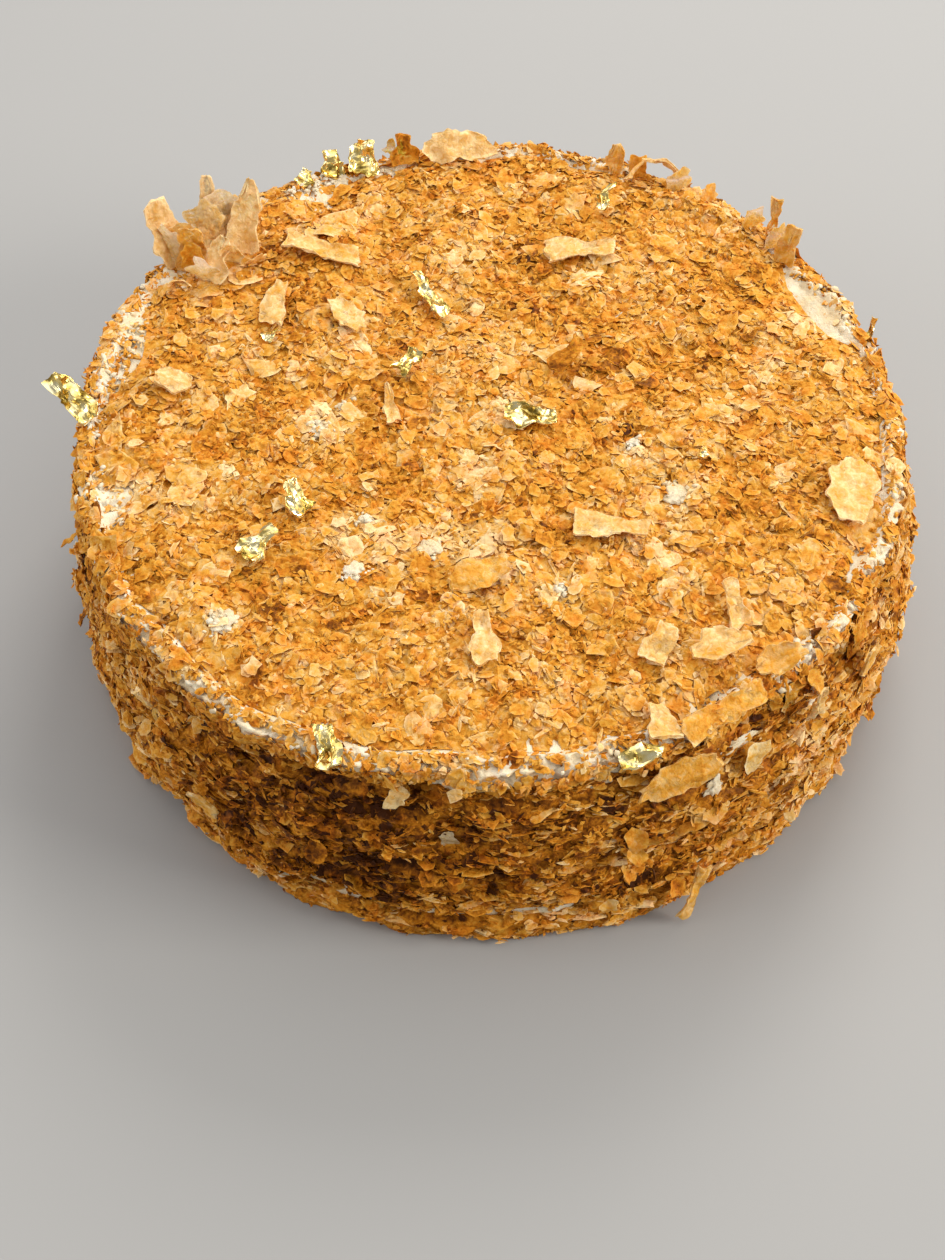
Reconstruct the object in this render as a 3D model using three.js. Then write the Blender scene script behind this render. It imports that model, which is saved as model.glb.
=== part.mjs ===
// A round napoleon cake: flaky pastry and cream, coated with pastry crumbs, with shards of pastry and
// crumpled gold leaf on top. Millimetres, +Z up. The origin is on the underside, on the cake's middle
// axis. An azimuth is an angle round that axis: 0 is the front (-Y) and 90 the right side (+X).
import * as THREE from "three";
import { ImprovedNoise } from "three/addons/math/ImprovedNoise.js";

// Heights of the layers, from the underside up.
const BASE_TOP = 9.5;
const LOW_CREAM_TOP = 12;
const BODY_TOP = 62.5;
const CREAM_TOP = 66;
const BEAD_TOP = 67.2;
const CRUMB_TOP = 69.2;

// The cake leans back a little: its rim sits this far behind and left of its foot.
const FOOT_MIDDLE = new THREE.Vector2(0.6, -2.1);
const RIM_MIDDLE = new THREE.Vector2(-0.6, 2.1);

// Mean radius of the coated side at each height, with the groove between two rows of pastry at 27.
const SIDE_PROFILE = [
  { z: 0, r: 111.5 },
  { z: 3, r: 113 },
  { z: 7, r: 113 },
  { z: 9.5, r: 111.5 },
  { z: 12, r: 111.5 },
  { z: 17, r: 113 },
  { z: 22, r: 113 },
  { z: 27, r: 110.8 },
  { z: 32, r: 113.2 },
  { z: 40, r: 112.6 },
  { z: 48, r: 111.2 },
  { z: 55, r: 109.4 },
  { z: 62.5, r: 107.4 },
  { z: 66, r: 106.4 },
  { z: 67.2, r: 105 },
];

// Wide swellings (push above 0) and hollows (push below 0) of the side.
const SIDE_FORMS = [
  { azimuth: 82, z: 30, across: 55, tall: 30, push: 3 },
  { azimuth: 78, z: 64, across: 50, tall: 16, push: 1.2 },
  { azimuth: -88, z: 48, across: 50, tall: 44, push: -3 },
  { azimuth: 58, z: 0, across: 26, tall: 14, push: -1 },
  { azimuth: -50, z: 3, across: 6, tall: 8, push: -6 },
  { azimuth: -9, z: 57, across: 7, tall: 5, push: -3 },
  { azimuth: 170, z: 66, across: 25, tall: 14, push: 1.5 },
];
const SIDE_LUMP = { size: 15, height: 3.2 };
const SIDE_KNOB = { size: 8, height: 2 };

// How far the crumbs on top stay back from the rim, and the bays where more cream shows.
const CRUMB_SETBACK = 4.2;
const CRUMB_BAYS = [
  { azimuth: -104, across: 13, depth: 7 },
  { azimuth: -75, across: 5, depth: 10 },
  { azimuth: -152, across: 7, depth: 7 },
  { azimuth: 114, across: 11, depth: 7 },
  { azimuth: 66, across: 6, depth: 3 },
  { azimuth: 46, across: 4, depth: 4 },
  { azimuth: 30, across: 6, depth: 2 },
];
const CRUMB_LUMP = { size: 17, height: 2.2 };
const CRUMB_KNOB = { size: 9, height: 1.4 };
const CRUMB_EDGE = 1.5;
const CRUMB_RINGS = [1, 0.985, 0.93, 0.85, 0.75, 0.64, 0.52, 0.4, 0.28, 0.15];

const SECTORS = 90;
const GAP = 0.4;
const FLAKE_THICKNESS = 0.9;
const LEAF_THICKNESS = 0.6;

const COLORS = {
  pastry: 0xc98a45,
  cream: 0xf3ead8,
  crumb: 0xd99a4a,
  flakePale: 0xe6bd84,
  flakeGolden: 0xd98d3c,
  flakeBrown: 0xa9642a,
  gold: 0xd9b23c,
};

const noise = new ImprovedNoise();
const rad = THREE.MathUtils.degToRad;
const random = THREE.MathUtils.seededRandom;

function finish(color, roughness, metalness = 0) {
  return new THREE.MeshStandardMaterial({ color, roughness, metalness });
}

const pastryFinish = finish(COLORS.pastry, 0.85);
const creamFinish = finish(COLORS.cream, 0.5);
const crumbFinish = finish(COLORS.crumb, 0.8);
const goldFinish = finish(COLORS.gold, 0.3, 1);
const flakeFinish = {
  pale: finish(COLORS.flakePale, 0.6),
  golden: finish(COLORS.flakeGolden, 0.6),
  brown: finish(COLORS.flakeBrown, 0.65),
};

// ---- The form of the cake's side and top ----------------------------------------------------------

// A smooth hump: 1 at its middle, 0 beyond its reach.
function hump(distance, reach) {
  const t = Math.min(Math.abs(distance) / reach, 1);
  return (1 - t * t) * (1 - t * t);
}

function azimuthBetween(a, b) {
  const turn = (a - b + 540) % 360;
  return turn - 180;
}

function relief({ size, height }, x, y, z) {
  return height * noise.noise(x / size + 7.3, y / size + 3.1, z / size + 5.7);
}

function profileRadius(z) {
  const above = SIDE_PROFILE.findIndex((station) => station.z >= z);
  if (above <= 0) return SIDE_PROFILE[0].r;
  const low = SIDE_PROFILE[above - 1];
  const high = SIDE_PROFILE[above];
  return THREE.MathUtils.mapLinear(z, low.z, high.z, low.r, high.r);
}

function middleAt(z) {
  return FOOT_MIDDLE.clone().lerp(RIM_MIDDLE, z / BEAD_TOP);
}

function pointAt(azimuth, radius, z) {
  const middle = middleAt(z);
  const x = middle.x + radius * Math.sin(rad(azimuth));
  const y = middle.y - radius * Math.cos(rad(azimuth));
  return new THREE.Vector3(x, y, z);
}

function sideRadius(azimuth, z) {
  const mean = profileRadius(z);
  const at = pointAt(azimuth, mean, z);
  let radius = mean + relief(SIDE_LUMP, at.x, at.y, at.z * 1.5);
  radius += relief(SIDE_KNOB, at.x, at.y, at.z);
  for (const form of SIDE_FORMS) {
    const near = hump(azimuthBetween(azimuth, form.azimuth), form.across);
    radius += form.push * near * hump(z - form.z, form.tall);
  }
  return radius;
}

function rimRadius(azimuth) {
  return sideRadius(azimuth, BEAD_TOP);
}

function crumbEdgeRadius(azimuth) {
  let setback = CRUMB_SETBACK;
  for (const bay of CRUMB_BAYS) {
    setback += bay.depth * hump(azimuthBetween(azimuth, bay.azimuth), bay.across);
  }
  return rimRadius(azimuth) - setback;
}

function crumbHeight(x, y, share) {
  const lumps = relief(CRUMB_LUMP, x, y, 0) + relief(CRUMB_KNOB, x, y, 20);
  const inside = 1 - hump(1 - share, 0.08);
  const edge = CREAM_TOP + CRUMB_EDGE;
  return THREE.MathUtils.lerp(edge, CRUMB_TOP + lumps, inside);
}

// ---- Layers: closed stacks of rings round the middle axis ------------------------------------------

// Each ring is a function from azimuth to a point. Both ends close to a point on the axis.
function ringSolid(rings, topZ) {
  const first = rings[0](0).z;
  const positions = [middleAt(first).x, middleAt(first).y, first];
  for (const ring of rings) {
    for (let s = 0; s < SECTORS; s++) {
      positions.push(...ring((360 * s) / SECTORS).toArray());
    }
  }
  positions.push(middleAt(topZ).x, middleAt(topZ).y, topZ);
  const index = [];
  const at = (ring, s) => 1 + ring * SECTORS + (s % SECTORS);
  const last = 1 + rings.length * SECTORS;
  for (let s = 0; s < SECTORS; s++) {
    index.push(0, at(0, s + 1), at(0, s));
    for (let ring = 0; ring + 1 < rings.length; ring++) {
      index.push(at(ring, s), at(ring, s + 1), at(ring + 1, s + 1));
      index.push(at(ring, s), at(ring + 1, s + 1), at(ring + 1, s));
    }
    index.push(last, at(rings.length - 1, s), at(rings.length - 1, s + 1));
  }
  const geometry = new THREE.BufferGeometry();
  geometry.setAttribute("position", new THREE.Float32BufferAttribute(positions, 3));
  geometry.setIndex(index);
  geometry.computeVertexNormals();
  return geometry;
}

function part(name, geometry, material) {
  const mesh = new THREE.Mesh(geometry, material);
  mesh.name = name;
  return mesh;
}

function sideRing(z, inward = 0) {
  return (azimuth) => pointAt(azimuth, sideRadius(azimuth, z) - inward, z);
}

function pastryBase() {
  const rings = [0, 3, 7, BASE_TOP].map((z) => sideRing(z));
  return part("pastry_base", ringSolid(rings, BASE_TOP), pastryFinish);
}

// The lowest cream layer shows as a line, and swells out in two places at the front.
const LOW_CREAM_SWELLS = [
  { azimuth: -30, across: 9, push: 1.8 },
  { azimuth: 5, across: 9, push: 1.8 },
];
const LOW_CREAM_INSET = 0.8;

function lowCreamRing(z, bulge) {
  return (azimuth) => {
    let radius = sideRadius(azimuth, z) - LOW_CREAM_INSET + bulge;
    for (const swell of LOW_CREAM_SWELLS) {
      radius += swell.push * hump(azimuthBetween(azimuth, swell.azimuth), swell.across);
    }
    return pointAt(azimuth, radius, z);
  };
}

function lowCream() {
  const middle = (BASE_TOP + LOW_CREAM_TOP) / 2;
  const rings = [lowCreamRing(BASE_TOP, 0), lowCreamRing(middle, 0.6), lowCreamRing(LOW_CREAM_TOP, 0)];
  return part("cream_low", ringSolid(rings, LOW_CREAM_TOP), creamFinish);
}

function pastryBody() {
  const heights = [LOW_CREAM_TOP, 17, 22, 27, 32, 36.5, 41, 45.5, 50, 54.5, 58.5, BODY_TOP];
  const rings = heights.map((z) => sideRing(z));
  return part("pastry_body", ringSolid(rings, BODY_TOP), pastryFinish);
}

// The top cream is flat under the crumbs, with a soft bead along the rim.
const BEAD_INNER = 3.4;
const BEAD_CREST = 1.8;

function topCream() {
  const beadRing = (inward, z) => (azimuth) => pointAt(azimuth, rimRadius(azimuth) - inward, z);
  const rings = [
    sideRing(BODY_TOP, 0.3),
    sideRing(CREAM_TOP, 0),
    beadRing(BEAD_CREST, BEAD_TOP),
    beadRing(BEAD_INNER, CREAM_TOP),
  ];
  return part("cream_top", ringSolid(rings, CREAM_TOP), creamFinish);
}

function crumbTop() {
  const edge = (azimuth) => pointAt(azimuth, crumbEdgeRadius(azimuth), CREAM_TOP);
  const reliefRing = (share) => (azimuth) => {
    const at = pointAt(azimuth, crumbEdgeRadius(azimuth) * share, CREAM_TOP);
    return at.setZ(crumbHeight(at.x, at.y, share));
  };
  const middle = middleAt(CREAM_TOP);
  const topZ = crumbHeight(middle.x, middle.y, 0);
  const rings = [edge, ...CRUMB_RINGS.map(reliefRing)];
  return part("crumb_top", ringSolid(rings, topZ), crumbFinish);
}

// ---- Thin pieces: shards of pastry and gold leaf --------------------------------------------------

// Half-width along the length, as a share of the full half-width.
const OUTLINES = {
  oval: (v) => 0.4 + 0.6 * Math.sqrt(Math.max(0, 1 - (2 * v - 1) ** 2)),
  pointed: (v) => 0.2 + 0.8 * Math.sqrt(Math.max(0, 1 - v)),
  strip: (v) => 0.85 + 0.15 * Math.cos(5 * v),
  torn: (v) => 0.75 + 0.25 * Math.sin(5 * v + 0.4),
};

// A thin plate in its own frame: width along X, length along Y, face up. `bend` curves it along its
// length and `curl` across its width, in degrees, and `crumple` creases it, in millimetres.
function plate({ width, length, outline, bend, curl, crumple, cells, thickness, seed }) {
  random(seed);
  const [across, along] = cells;
  const bendAngle = rad(bend || 0.5);
  const curlAngle = rad(curl || 0.5);
  const faces = { upper: [], lower: [] };
  for (let j = 0; j <= along; j++) {
    const v = j / along;
    const theta = bendAngle * (v - 0.5);
    const rowWidth = width * OUTLINES[outline](v);
    const left = 1 - 0.3 * random();
    const right = 1 - 0.3 * random();
    for (let i = 0; i <= across; i++) {
      const u = i / across - 0.5;
      const phi = curlAngle * u * (u < 0 ? left : right);
      const normal = new THREE.Vector3(-Math.sin(phi), -Math.cos(phi) * Math.sin(theta), 0);
      normal.z = Math.cos(phi) * Math.cos(theta);
      const rise = (rowWidth / curlAngle) * (1 - Math.cos(phi));
      const point = new THREE.Vector3();
      point.x = (rowWidth / curlAngle) * Math.sin(phi);
      point.y = (length / bendAngle) * Math.sin(theta) - rise * Math.sin(theta);
      point.z = (length / bendAngle) * (1 - Math.cos(theta)) + rise * Math.cos(theta);
      point.addScaledVector(normal, crumple * (random() - 0.5));
      faces.upper.push(point.clone().addScaledVector(normal, thickness / 2));
      faces.lower.push(point.clone().addScaledVector(normal, -thickness / 2));
    }
  }
  return closePlate(faces, across, along);
}

function closePlate({ upper, lower }, across, along) {
  const positions = [...upper, ...lower].flatMap((point) => point.toArray());
  const below = upper.length;
  const at = (i, j) => j * (across + 1) + i;
  const index = [];
  const wall = (a, b) => index.push(a, a + below, b + below, a, b + below, b);
  for (let j = 0; j < along; j++) {
    for (let i = 0; i < across; i++) {
      const [a, b, c, d] = [at(i, j), at(i + 1, j), at(i + 1, j + 1), at(i, j + 1)];
      index.push(a, b, c, a, c, d);
      index.push(a + below, c + below, b + below, a + below, d + below, c + below);
    }
  }
  for (let i = 0; i < across; i++) {
    wall(at(i, 0), at(i + 1, 0));
    wall(at(i + 1, along), at(i, along));
  }
  for (let j = 0; j < along; j++) {
    wall(at(across, j), at(across, j + 1));
    wall(at(0, j + 1), at(0, j));
  }
  const geometry = new THREE.BufferGeometry();
  geometry.setAttribute("position", new THREE.Float32BufferAttribute(positions, 3));
  geometry.setIndex(index);
  geometry.computeVertexNormals();
  return geometry;
}

// A place on top: x and y from the rim's middle. The length points along `heading` (degrees from +X
// towards +Y) and rises by `rise`: 0 lies flat and 90 stands. `roll` tips it about its length.
function onTop({ x, y, heading, rise = 0, roll = 0 }) {
  const along = new THREE.Vector3(Math.cos(rad(heading)), Math.sin(rad(heading)), 0);
  const across = new THREE.Vector3(along.y, -along.x, 0);
  along.multiplyScalar(Math.cos(rad(rise))).setZ(Math.sin(rad(rise)));
  across.applyAxisAngle(along, rad(roll));
  const middle = new THREE.Vector3(x + RIM_MIDDLE.x, y + RIM_MIDDLE.y, CRUMB_TOP);
  return { middle, along, across, away: new THREE.Vector3(0, 0, 1) };
}

// A place on the side: the length points up, turned by `spin` towards the right, and leans outwards by
// `lean`. `roll` tips it about its length. `lift` turns the direction from which the piece is laid on,
// from level towards upright.
function onSide({ azimuth, z, spin = 0, lean = 0, roll = 0, lift = 0 }) {
  const out = new THREE.Vector3(Math.sin(rad(azimuth)), -Math.cos(rad(azimuth)), 0);
  const right = new THREE.Vector3(-out.y, out.x, 0);
  const up = new THREE.Vector3(0, 0, 1);
  const along = up.clone().multiplyScalar(Math.cos(rad(spin))).addScaledVector(right, Math.sin(rad(spin)));
  const across = along.clone().cross(out);
  along.multiplyScalar(Math.cos(rad(lean))).addScaledVector(out, Math.sin(rad(lean)));
  across.applyAxisAngle(along, rad(roll));
  const middle = pointAt(azimuth, profileRadius(z), z);
  const away = out.clone().multiplyScalar(Math.cos(rad(lift))).addScaledVector(up, Math.sin(rad(lift)));
  return { middle, along, across, away };
}

// Moves a piece along `away` until its nearest point clears the cake by GAP.
function settle(mesh, away, cake) {
  const reach = 60;
  const ray = new THREE.Raycaster();
  const position = mesh.geometry.getAttribute("position");
  const index = mesh.geometry.getIndex().array;
  mesh.updateMatrixWorld(true);
  let push = -reach;
  const test = (point) => {
    ray.set(point.clone().addScaledVector(away, reach), away.clone().negate());
    const [hit] = ray.intersectObjects(cake);
    if (hit) push = Math.max(push, reach - hit.distance);
  };
  for (let t = 0; t < index.length; t += 3) {
    const corners = [0, 1, 2].map((k) => {
      const corner = new THREE.Vector3().fromBufferAttribute(position, index[t + k]);
      return corner.applyMatrix4(mesh.matrixWorld);
    });
    corners.forEach(test);
    test(corners[0].clone().add(corners[1]).add(corners[2]).divideScalar(3));
  }
  mesh.position.addScaledVector(away, push + GAP);
}

function laid(mesh, { middle, along, across, away }, cake) {
  const face = across.clone().cross(along);
  mesh.quaternion.setFromRotationMatrix(new THREE.Matrix4().makeBasis(across, along, face));
  mesh.position.copy(middle);
  settle(mesh, away, cake);
  return mesh;
}

// Shards standing at the rim, shards lying on the crumbs, shards bent over the rim, and shards on the
// side. Sizes are [width, length].
const FLAKES = [
  { at: onTop({ x: -86.5, y: 61, heading: 135, rise: 65 }), size: [10, 16], outline: "torn", curl: 30 },
  { at: onTop({ x: -79.5, y: 57, heading: 90, rise: 75 }), size: [8, 10], outline: "torn", tone: "golden" },
  { at: onTop({ x: -74.5, y: 66, heading: 95, rise: 65 }), size: [7, 18], outline: "pointed", curl: 40 },
  { at: onTop({ x: -64.5, y: 65, heading: 75, rise: 55 }), size: [11, 19], outline: "pointed", curl: 20 },
  { at: onTop({ x: -72.5, y: 53, heading: 60, rise: 45 }), size: [9, 12], outline: "pointed", bend: 30 },
  { at: onTop({ x: -6.8, y: 98, heading: 90, rise: 35 }), size: [26, 9], outline: "oval", curl: -50 },
  { at: onTop({ x: -22, y: 98.5, heading: 100, rise: 60 }), size: [10, 9], outline: "torn", tone: "brown" },
  { at: onTop({ x: 38, y: 92, heading: 90, rise: 80 }), size: [6, 9], outline: "oval", tone: "golden" },
  { at: onTop({ x: 49, y: 92, heading: 0, roll: -40 }), size: [5, 22], outline: "strip", bend: -160 },
  { at: onTop({ x: 80.5, y: 67, heading: 80, rise: 82 }), size: [4, 13], outline: "strip", tone: "golden" },
  { at: onTop({ x: 84, y: 58, heading: 60, rise: 60 }), size: [6, 9], outline: "torn", tone: "golden" },
  { at: onTop({ x: 91, y: -26.5, heading: 80, roll: 8 }), size: [15, 20], outline: "oval", curl: 25 },
  { at: onTop({ x: 31, y: -38, heading: -8, rise: 3 }), size: [11, 18], outline: "torn", curl: 20 },
  { at: onTop({ x: 40, y: -73, heading: 60, rise: 6 }), size: [10, 11], outline: "torn", bend: 15 },
  { at: onTop({ x: 54, y: -74, heading: 15, rise: 8 }), size: [10, 14], outline: "oval", curl: 25 },
  { at: onTop({ x: 59, y: -62, heading: 100, rise: 12 }), size: [7, 11], outline: "torn", curl: 40 },
  { at: onTop({ x: 39.5, y: -92, heading: 100, rise: 6 }), size: [8, 10], outline: "torn", bend: 20 },
  { at: onTop({ x: -44.5, y: 59, heading: 165, rise: 4 }), size: [9, 22], outline: "strip", curl: 25 },
  { at: onTop({ x: -36.5, y: 33.5, heading: 130, rise: 8 }), size: [9, 13], outline: "oval", curl: 25 },
  { at: onTop({ x: -81, y: 10.5, heading: 170, rise: 3 }), size: [9, 11], outline: "oval", curl: -20 },
  { at: onTop({ x: -24, y: 2, heading: 100, rise: 5 }), size: [5, 12], outline: "pointed", curl: 20 },
  { at: onTop({ x: 27, y: 59, heading: 0, rise: 3 }), size: [12, 20], outline: "torn", curl: -15 },
  { at: onTop({ x: -2, y: -52.5, heading: 20, rise: 4 }), size: [11, 15], outline: "oval", tone: "golden" },
  { at: onTop({ x: -1, y: -70.5, heading: 95, rise: 8 }), size: [8, 14], outline: "torn", curl: 25 },
  { at: onTop({ x: 21.5, y: 17.5, heading: 40, rise: 22 }), size: [8, 11], outline: "torn", tone: "brown" },
  { at: onTop({ x: -55.5, y: 37.5, heading: 75, rise: 14 }), size: [9, 14], outline: "torn", curl: 20 },
  { at: onTop({ x: 68, y: -76.5, heading: 20, rise: 14 }), size: [10, 13], outline: "oval", curl: 80, tone: "golden" },
  { at: onTop({ x: 54.5, y: -89.5, heading: 31, roll: 26 }), size: [8, 23], outline: "strip", curl: -25 },
  { at: onSide({ azimuth: 23, z: 59, spin: 80, roll: -30, lift: 20 }), size: [11, 21], outline: "oval" },
  { at: onSide({ azimuth: 43.5, z: 59, lean: 8, lift: 10 }), size: [8, 12], outline: "torn", curl: 90 },
  { at: onSide({ azimuth: 55, z: 54, spin: -15, lean: 4 }), size: [9, 15], outline: "torn", curl: -20 },
  { at: onSide({ azimuth: 39, z: 38, spin: 15, lean: 6 }), size: [6, 9], outline: "torn", tone: "brown" },
  { at: onSide({ azimuth: 26, z: 10.5, spin: 25, lean: -14 }), size: [5, 17], outline: "strip" },
  { at: onSide({ azimuth: -47, z: 57, spin: 15, lean: 10 }), size: [7, 9], outline: "pointed" },
  { at: onSide({ azimuth: -37.5, z: 32, spin: -20, lean: 6 }), size: [11, 11], outline: "oval", curl: 20 },
];

function flakes(cake) {
  return FLAKES.map(({ at, size, outline, bend = 0, curl = 0, tone = "pale" }, i) => {
    const [width, length] = size;
    const cells = [3, 3];
    const shard = { width, length, outline, bend, curl, cells, seed: 11 + i };
    const geometry = plate({ ...shard, crumple: 0.6, thickness: FLAKE_THICKNESS });
    const name = `flake_${String(i + 1).padStart(2, "0")}`;
    return laid(part(name, geometry, flakeFinish[tone]), at, cake);
  });
}

// Crumpled gold leaf: three at the back rim, one that sticks out over the left rim, the others on top.
const LEAVES = [
  { at: onTop({ x: -50.5, y: 90.5, heading: 60, rise: 30 }), size: [5, 6] },
  { at: onTop({ x: -43, y: 96, heading: 120, rise: 35 }), size: [9, 8] },
  { at: onTop({ x: -33.5, y: 96.5, heading: 80, rise: 45 }), size: [11, 10] },
  { at: onTop({ x: 34.5, y: 77, heading: 60, rise: 30 }), size: [6, 8] },
  { at: onTop({ x: -14, y: 42, heading: 120, rise: 8 }), size: [7, 17] },
  { at: onTop({ x: -56, y: 26.5, heading: 30, rise: 10 }), size: [5, 5] },
  { at: onTop({ x: -20, y: 16, heading: 60, rise: 15 }), size: [7, 9] },
  { at: onTop({ x: 12, y: -2, heading: -10, rise: 6 }), size: [8, 14] },
  { at: onTop({ x: 55, y: -15, heading: 90, rise: 10 }), size: [3.5, 4.5] },
  { at: onTop({ x: -46, y: -29.5, heading: 120, rise: 14 }), size: [9, 10] },
  { at: onTop({ x: -55, y: -43.5, heading: 45, rise: 14 }), size: [9, 10] },
  { at: onTop({ x: -36.5, y: -98.5, heading: 100, rise: 20 }), size: [9, 10] },
  { at: onTop({ x: 34.5, y: -101, heading: 10, rise: 8 }), size: [6, 10] },
  { at: onTop({ x: -106, y: 5, heading: 140, rise: 15, roll: -30 }), size: [11, 17] },
  { at: onSide({ azimuth: 109, z: 62, spin: 15, lean: 20 }), size: [5, 10] },
];

function goldLeaves(cake) {
  return LEAVES.map(({ at, size }, i) => {
    const [width, length] = size;
    const sheet = { width, length, outline: "torn", bend: 25, curl: 40, cells: [3, 3] };
    const crumple = Math.min(width, length) * 0.22;
    const geometry = plate({ ...sheet, crumple, thickness: LEAF_THICKNESS, seed: 101 + i });
    const name = `gold_leaf_${String(i + 1).padStart(2, "0")}`;
    return laid(part(name, geometry, goldFinish), at, cake);
  });
}

// ---- The whole cake -------------------------------------------------------------------------------

const layers = [pastryBase(), lowCream(), pastryBody(), topCream(), crumbTop()];
layers.forEach((layer) => layer.updateMatrixWorld(true));

const napoleonCake = new THREE.Group();
napoleonCake.add(...layers, ...flakes(layers), ...goldLeaves(layers));

export default napoleonCake;
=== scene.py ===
# %% [markdown]
# # A napoleon cake
# The cake is made of puff pastry and cream. Its top and side are coated with crumbs and flakes of
# the same pastry, bigger shards stand and lie on it, and crumpled gold leaf finishes it. The
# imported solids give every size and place, and this script gives the looks.

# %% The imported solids
import math

import bmesh
import bpy
import numpy as np
from mathutils import Matrix, Vector, noise
from mathutils.bvhtree import BVHTree
from mathutils.kdtree import KDTree


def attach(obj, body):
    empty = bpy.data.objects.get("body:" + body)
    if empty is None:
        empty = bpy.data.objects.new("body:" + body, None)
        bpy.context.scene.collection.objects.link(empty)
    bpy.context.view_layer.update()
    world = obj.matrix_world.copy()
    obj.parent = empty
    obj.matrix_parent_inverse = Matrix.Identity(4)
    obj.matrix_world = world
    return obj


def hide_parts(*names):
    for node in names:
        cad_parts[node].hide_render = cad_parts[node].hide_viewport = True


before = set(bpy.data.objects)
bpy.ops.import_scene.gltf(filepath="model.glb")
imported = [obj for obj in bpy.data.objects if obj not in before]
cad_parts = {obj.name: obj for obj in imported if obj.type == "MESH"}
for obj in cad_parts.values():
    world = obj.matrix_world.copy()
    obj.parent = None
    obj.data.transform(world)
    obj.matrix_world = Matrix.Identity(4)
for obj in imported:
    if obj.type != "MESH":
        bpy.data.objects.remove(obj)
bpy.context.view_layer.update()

MM = 0.001
BODY = "root"

# %% [markdown]
# ## Camera, floor and light
# The camera looks down on the cake from the front, through a 50 mm lens. A pale floor and a pale
# sky fill the shadows softly. One wide lamp hangs behind and above the cake, because light that
# comes from behind rakes over the crumbs, and leaves the front of the side in shade.

# %% Camera
CAMERA_PLACE = Vector((-3.892, -299.717, 406.364)) * MM
CAMERA_PITCH = 0.963908
CAMERA_ROLL = -0.00467336
LENS = 50
SENSOR = 36


def link_to_scene(name, data):
    thing = bpy.data.objects.new(name, data)
    bpy.context.scene.collection.objects.link(thing)
    return thing


def make_camera():
    look = Vector((0, math.cos(CAMERA_PITCH), -math.sin(CAMERA_PITCH)))
    level_right = Vector((1, 0, 0))
    level_up = level_right.cross(look)
    right = math.cos(CAMERA_ROLL) * level_right + math.sin(CAMERA_ROLL) * level_up
    up = math.cos(CAMERA_ROLL) * level_up - math.sin(CAMERA_ROLL) * level_right
    data = bpy.data.cameras.new("camera")
    data.lens = LENS
    data.sensor_width = SENSOR
    data.clip_start = 0.01
    camera = link_to_scene("camera", data)
    turn = Matrix((right, up, -look)).transposed()
    camera.matrix_world = Matrix.Translation(CAMERA_PLACE) @ turn.to_4x4()
    bpy.context.scene.camera = camera


make_camera()
print("camera at", [round(c / MM) for c in CAMERA_PLACE], "mm, lens", LENS, "mm")

# %% Floor and light
FLOOR_HALF = 3.0
FLOOR_COLOR = (0.36, 0.36, 0.36, 1)
SKY_COLOR = (1.0, 0.98, 0.95, 1)
SKY_STRENGTH = 0.35
LAMPS = [
    # name, place in metres, size, power, colour
    ("ceiling_panel", (0.1, 0.5, 1.5), 2.4, 20, (1.0, 0.98, 0.95)),
    ("back_lamp", (0.3, 0.9, 0.9), 0.5, 8, (1.0, 0.96, 0.9)),
    ("right_lamp", (1.3, -0.3, 0.7), 0.6, 16, (1.0, 0.95, 0.86)),
    ("left_lamp", (-1.3, -0.2, 0.6), 0.8, 6.5, (1.0, 0.98, 0.95)),
]


def set_inputs(node, **values):
    """Sets the inputs of a node, whose names are given with _ for each space."""
    for label, value in values.items():
        node.inputs[label.replace("_", " ")].default_value = value


def new_material(name):
    material = bpy.data.materials.new(name)
    material.use_nodes = True
    return material, material.node_tree.nodes["Principled BSDF"]


def make_floor():
    bm = bmesh.new()
    bmesh.ops.create_grid(bm, x_segments=1, y_segments=1, size=FLOOR_HALF)
    data = bpy.data.meshes.new("floor")
    bm.to_mesh(data)
    bm.free()
    material, shader = new_material("floor")
    set_inputs(shader, Base_Color=FLOOR_COLOR, Roughness=0.8)
    data.materials.append(material)
    floor = link_to_scene("floor", data)


def make_lights():
    world = bpy.data.worlds.new("sky")
    world.use_nodes = True
    set_inputs(world.node_tree.nodes["Background"], Color=SKY_COLOR, Strength=SKY_STRENGTH)
    bpy.context.scene.world = world
    for name, place, size, power, color in LAMPS:
        data = bpy.data.lights.new(name, "AREA")
        data.size = size
        data.energy = power
        data.color = color
        lamp = link_to_scene(name, data)
        lamp.location = place
        lamp.rotation_euler = (-Vector(place)).to_track_quat("-Z", "Y").to_euler()


make_floor()
make_lights()
bpy.context.scene.view_settings.view_transform = "Standard"
print("lamps", [lamp[0] for lamp in LAMPS])

# %% [markdown]
# ## Materials
# Baked pastry runs from pale straw over gold to brown, as its sugar toasts. One node group turns
# a bake value into a colour, and every crumb and shard carries its own bake value as an attribute
# of its mesh; in places this value also holds painted shade and painted light. Cream and gold leaf
# have a group each.

# %% Node helpers
def new_group(name, **inputs):
    """A node group with these inputs and starts, which puts out colour, roughness and height."""
    group = bpy.data.node_groups.new(name, "ShaderNodeTree")
    sockets = group.interface
    for label, start in inputs.items():
        label = label.replace("_", " ")
        socket = sockets.new_socket(name=label, in_out="INPUT", socket_type="NodeSocketFloat")
        socket.default_value = start
    for label, kind in (("Color", "Color"), ("Roughness", "Float"), ("Height", "Float")):
        sockets.new_socket(name=label, in_out="OUTPUT", socket_type="NodeSocket" + kind)
    return group, group.nodes.new("NodeGroupInput"), group.nodes.new("NodeGroupOutput")


def feed(tree, socket, value):
    """Links a socket to another, or sets it to a plain value."""
    if isinstance(value, bpy.types.NodeSocket):
        tree.links.new(value, socket)
    else:
        socket.default_value = value


def calculate(tree, operation, first, second, clamp=False):
    """One sum. Each input is a plain value or the output of another node."""
    node = tree.nodes.new("ShaderNodeMath")
    node.operation = operation
    node.use_clamp = clamp
    feed(tree, node.inputs[0], first)
    feed(tree, node.inputs[1], second)
    return node.outputs[0]


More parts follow.
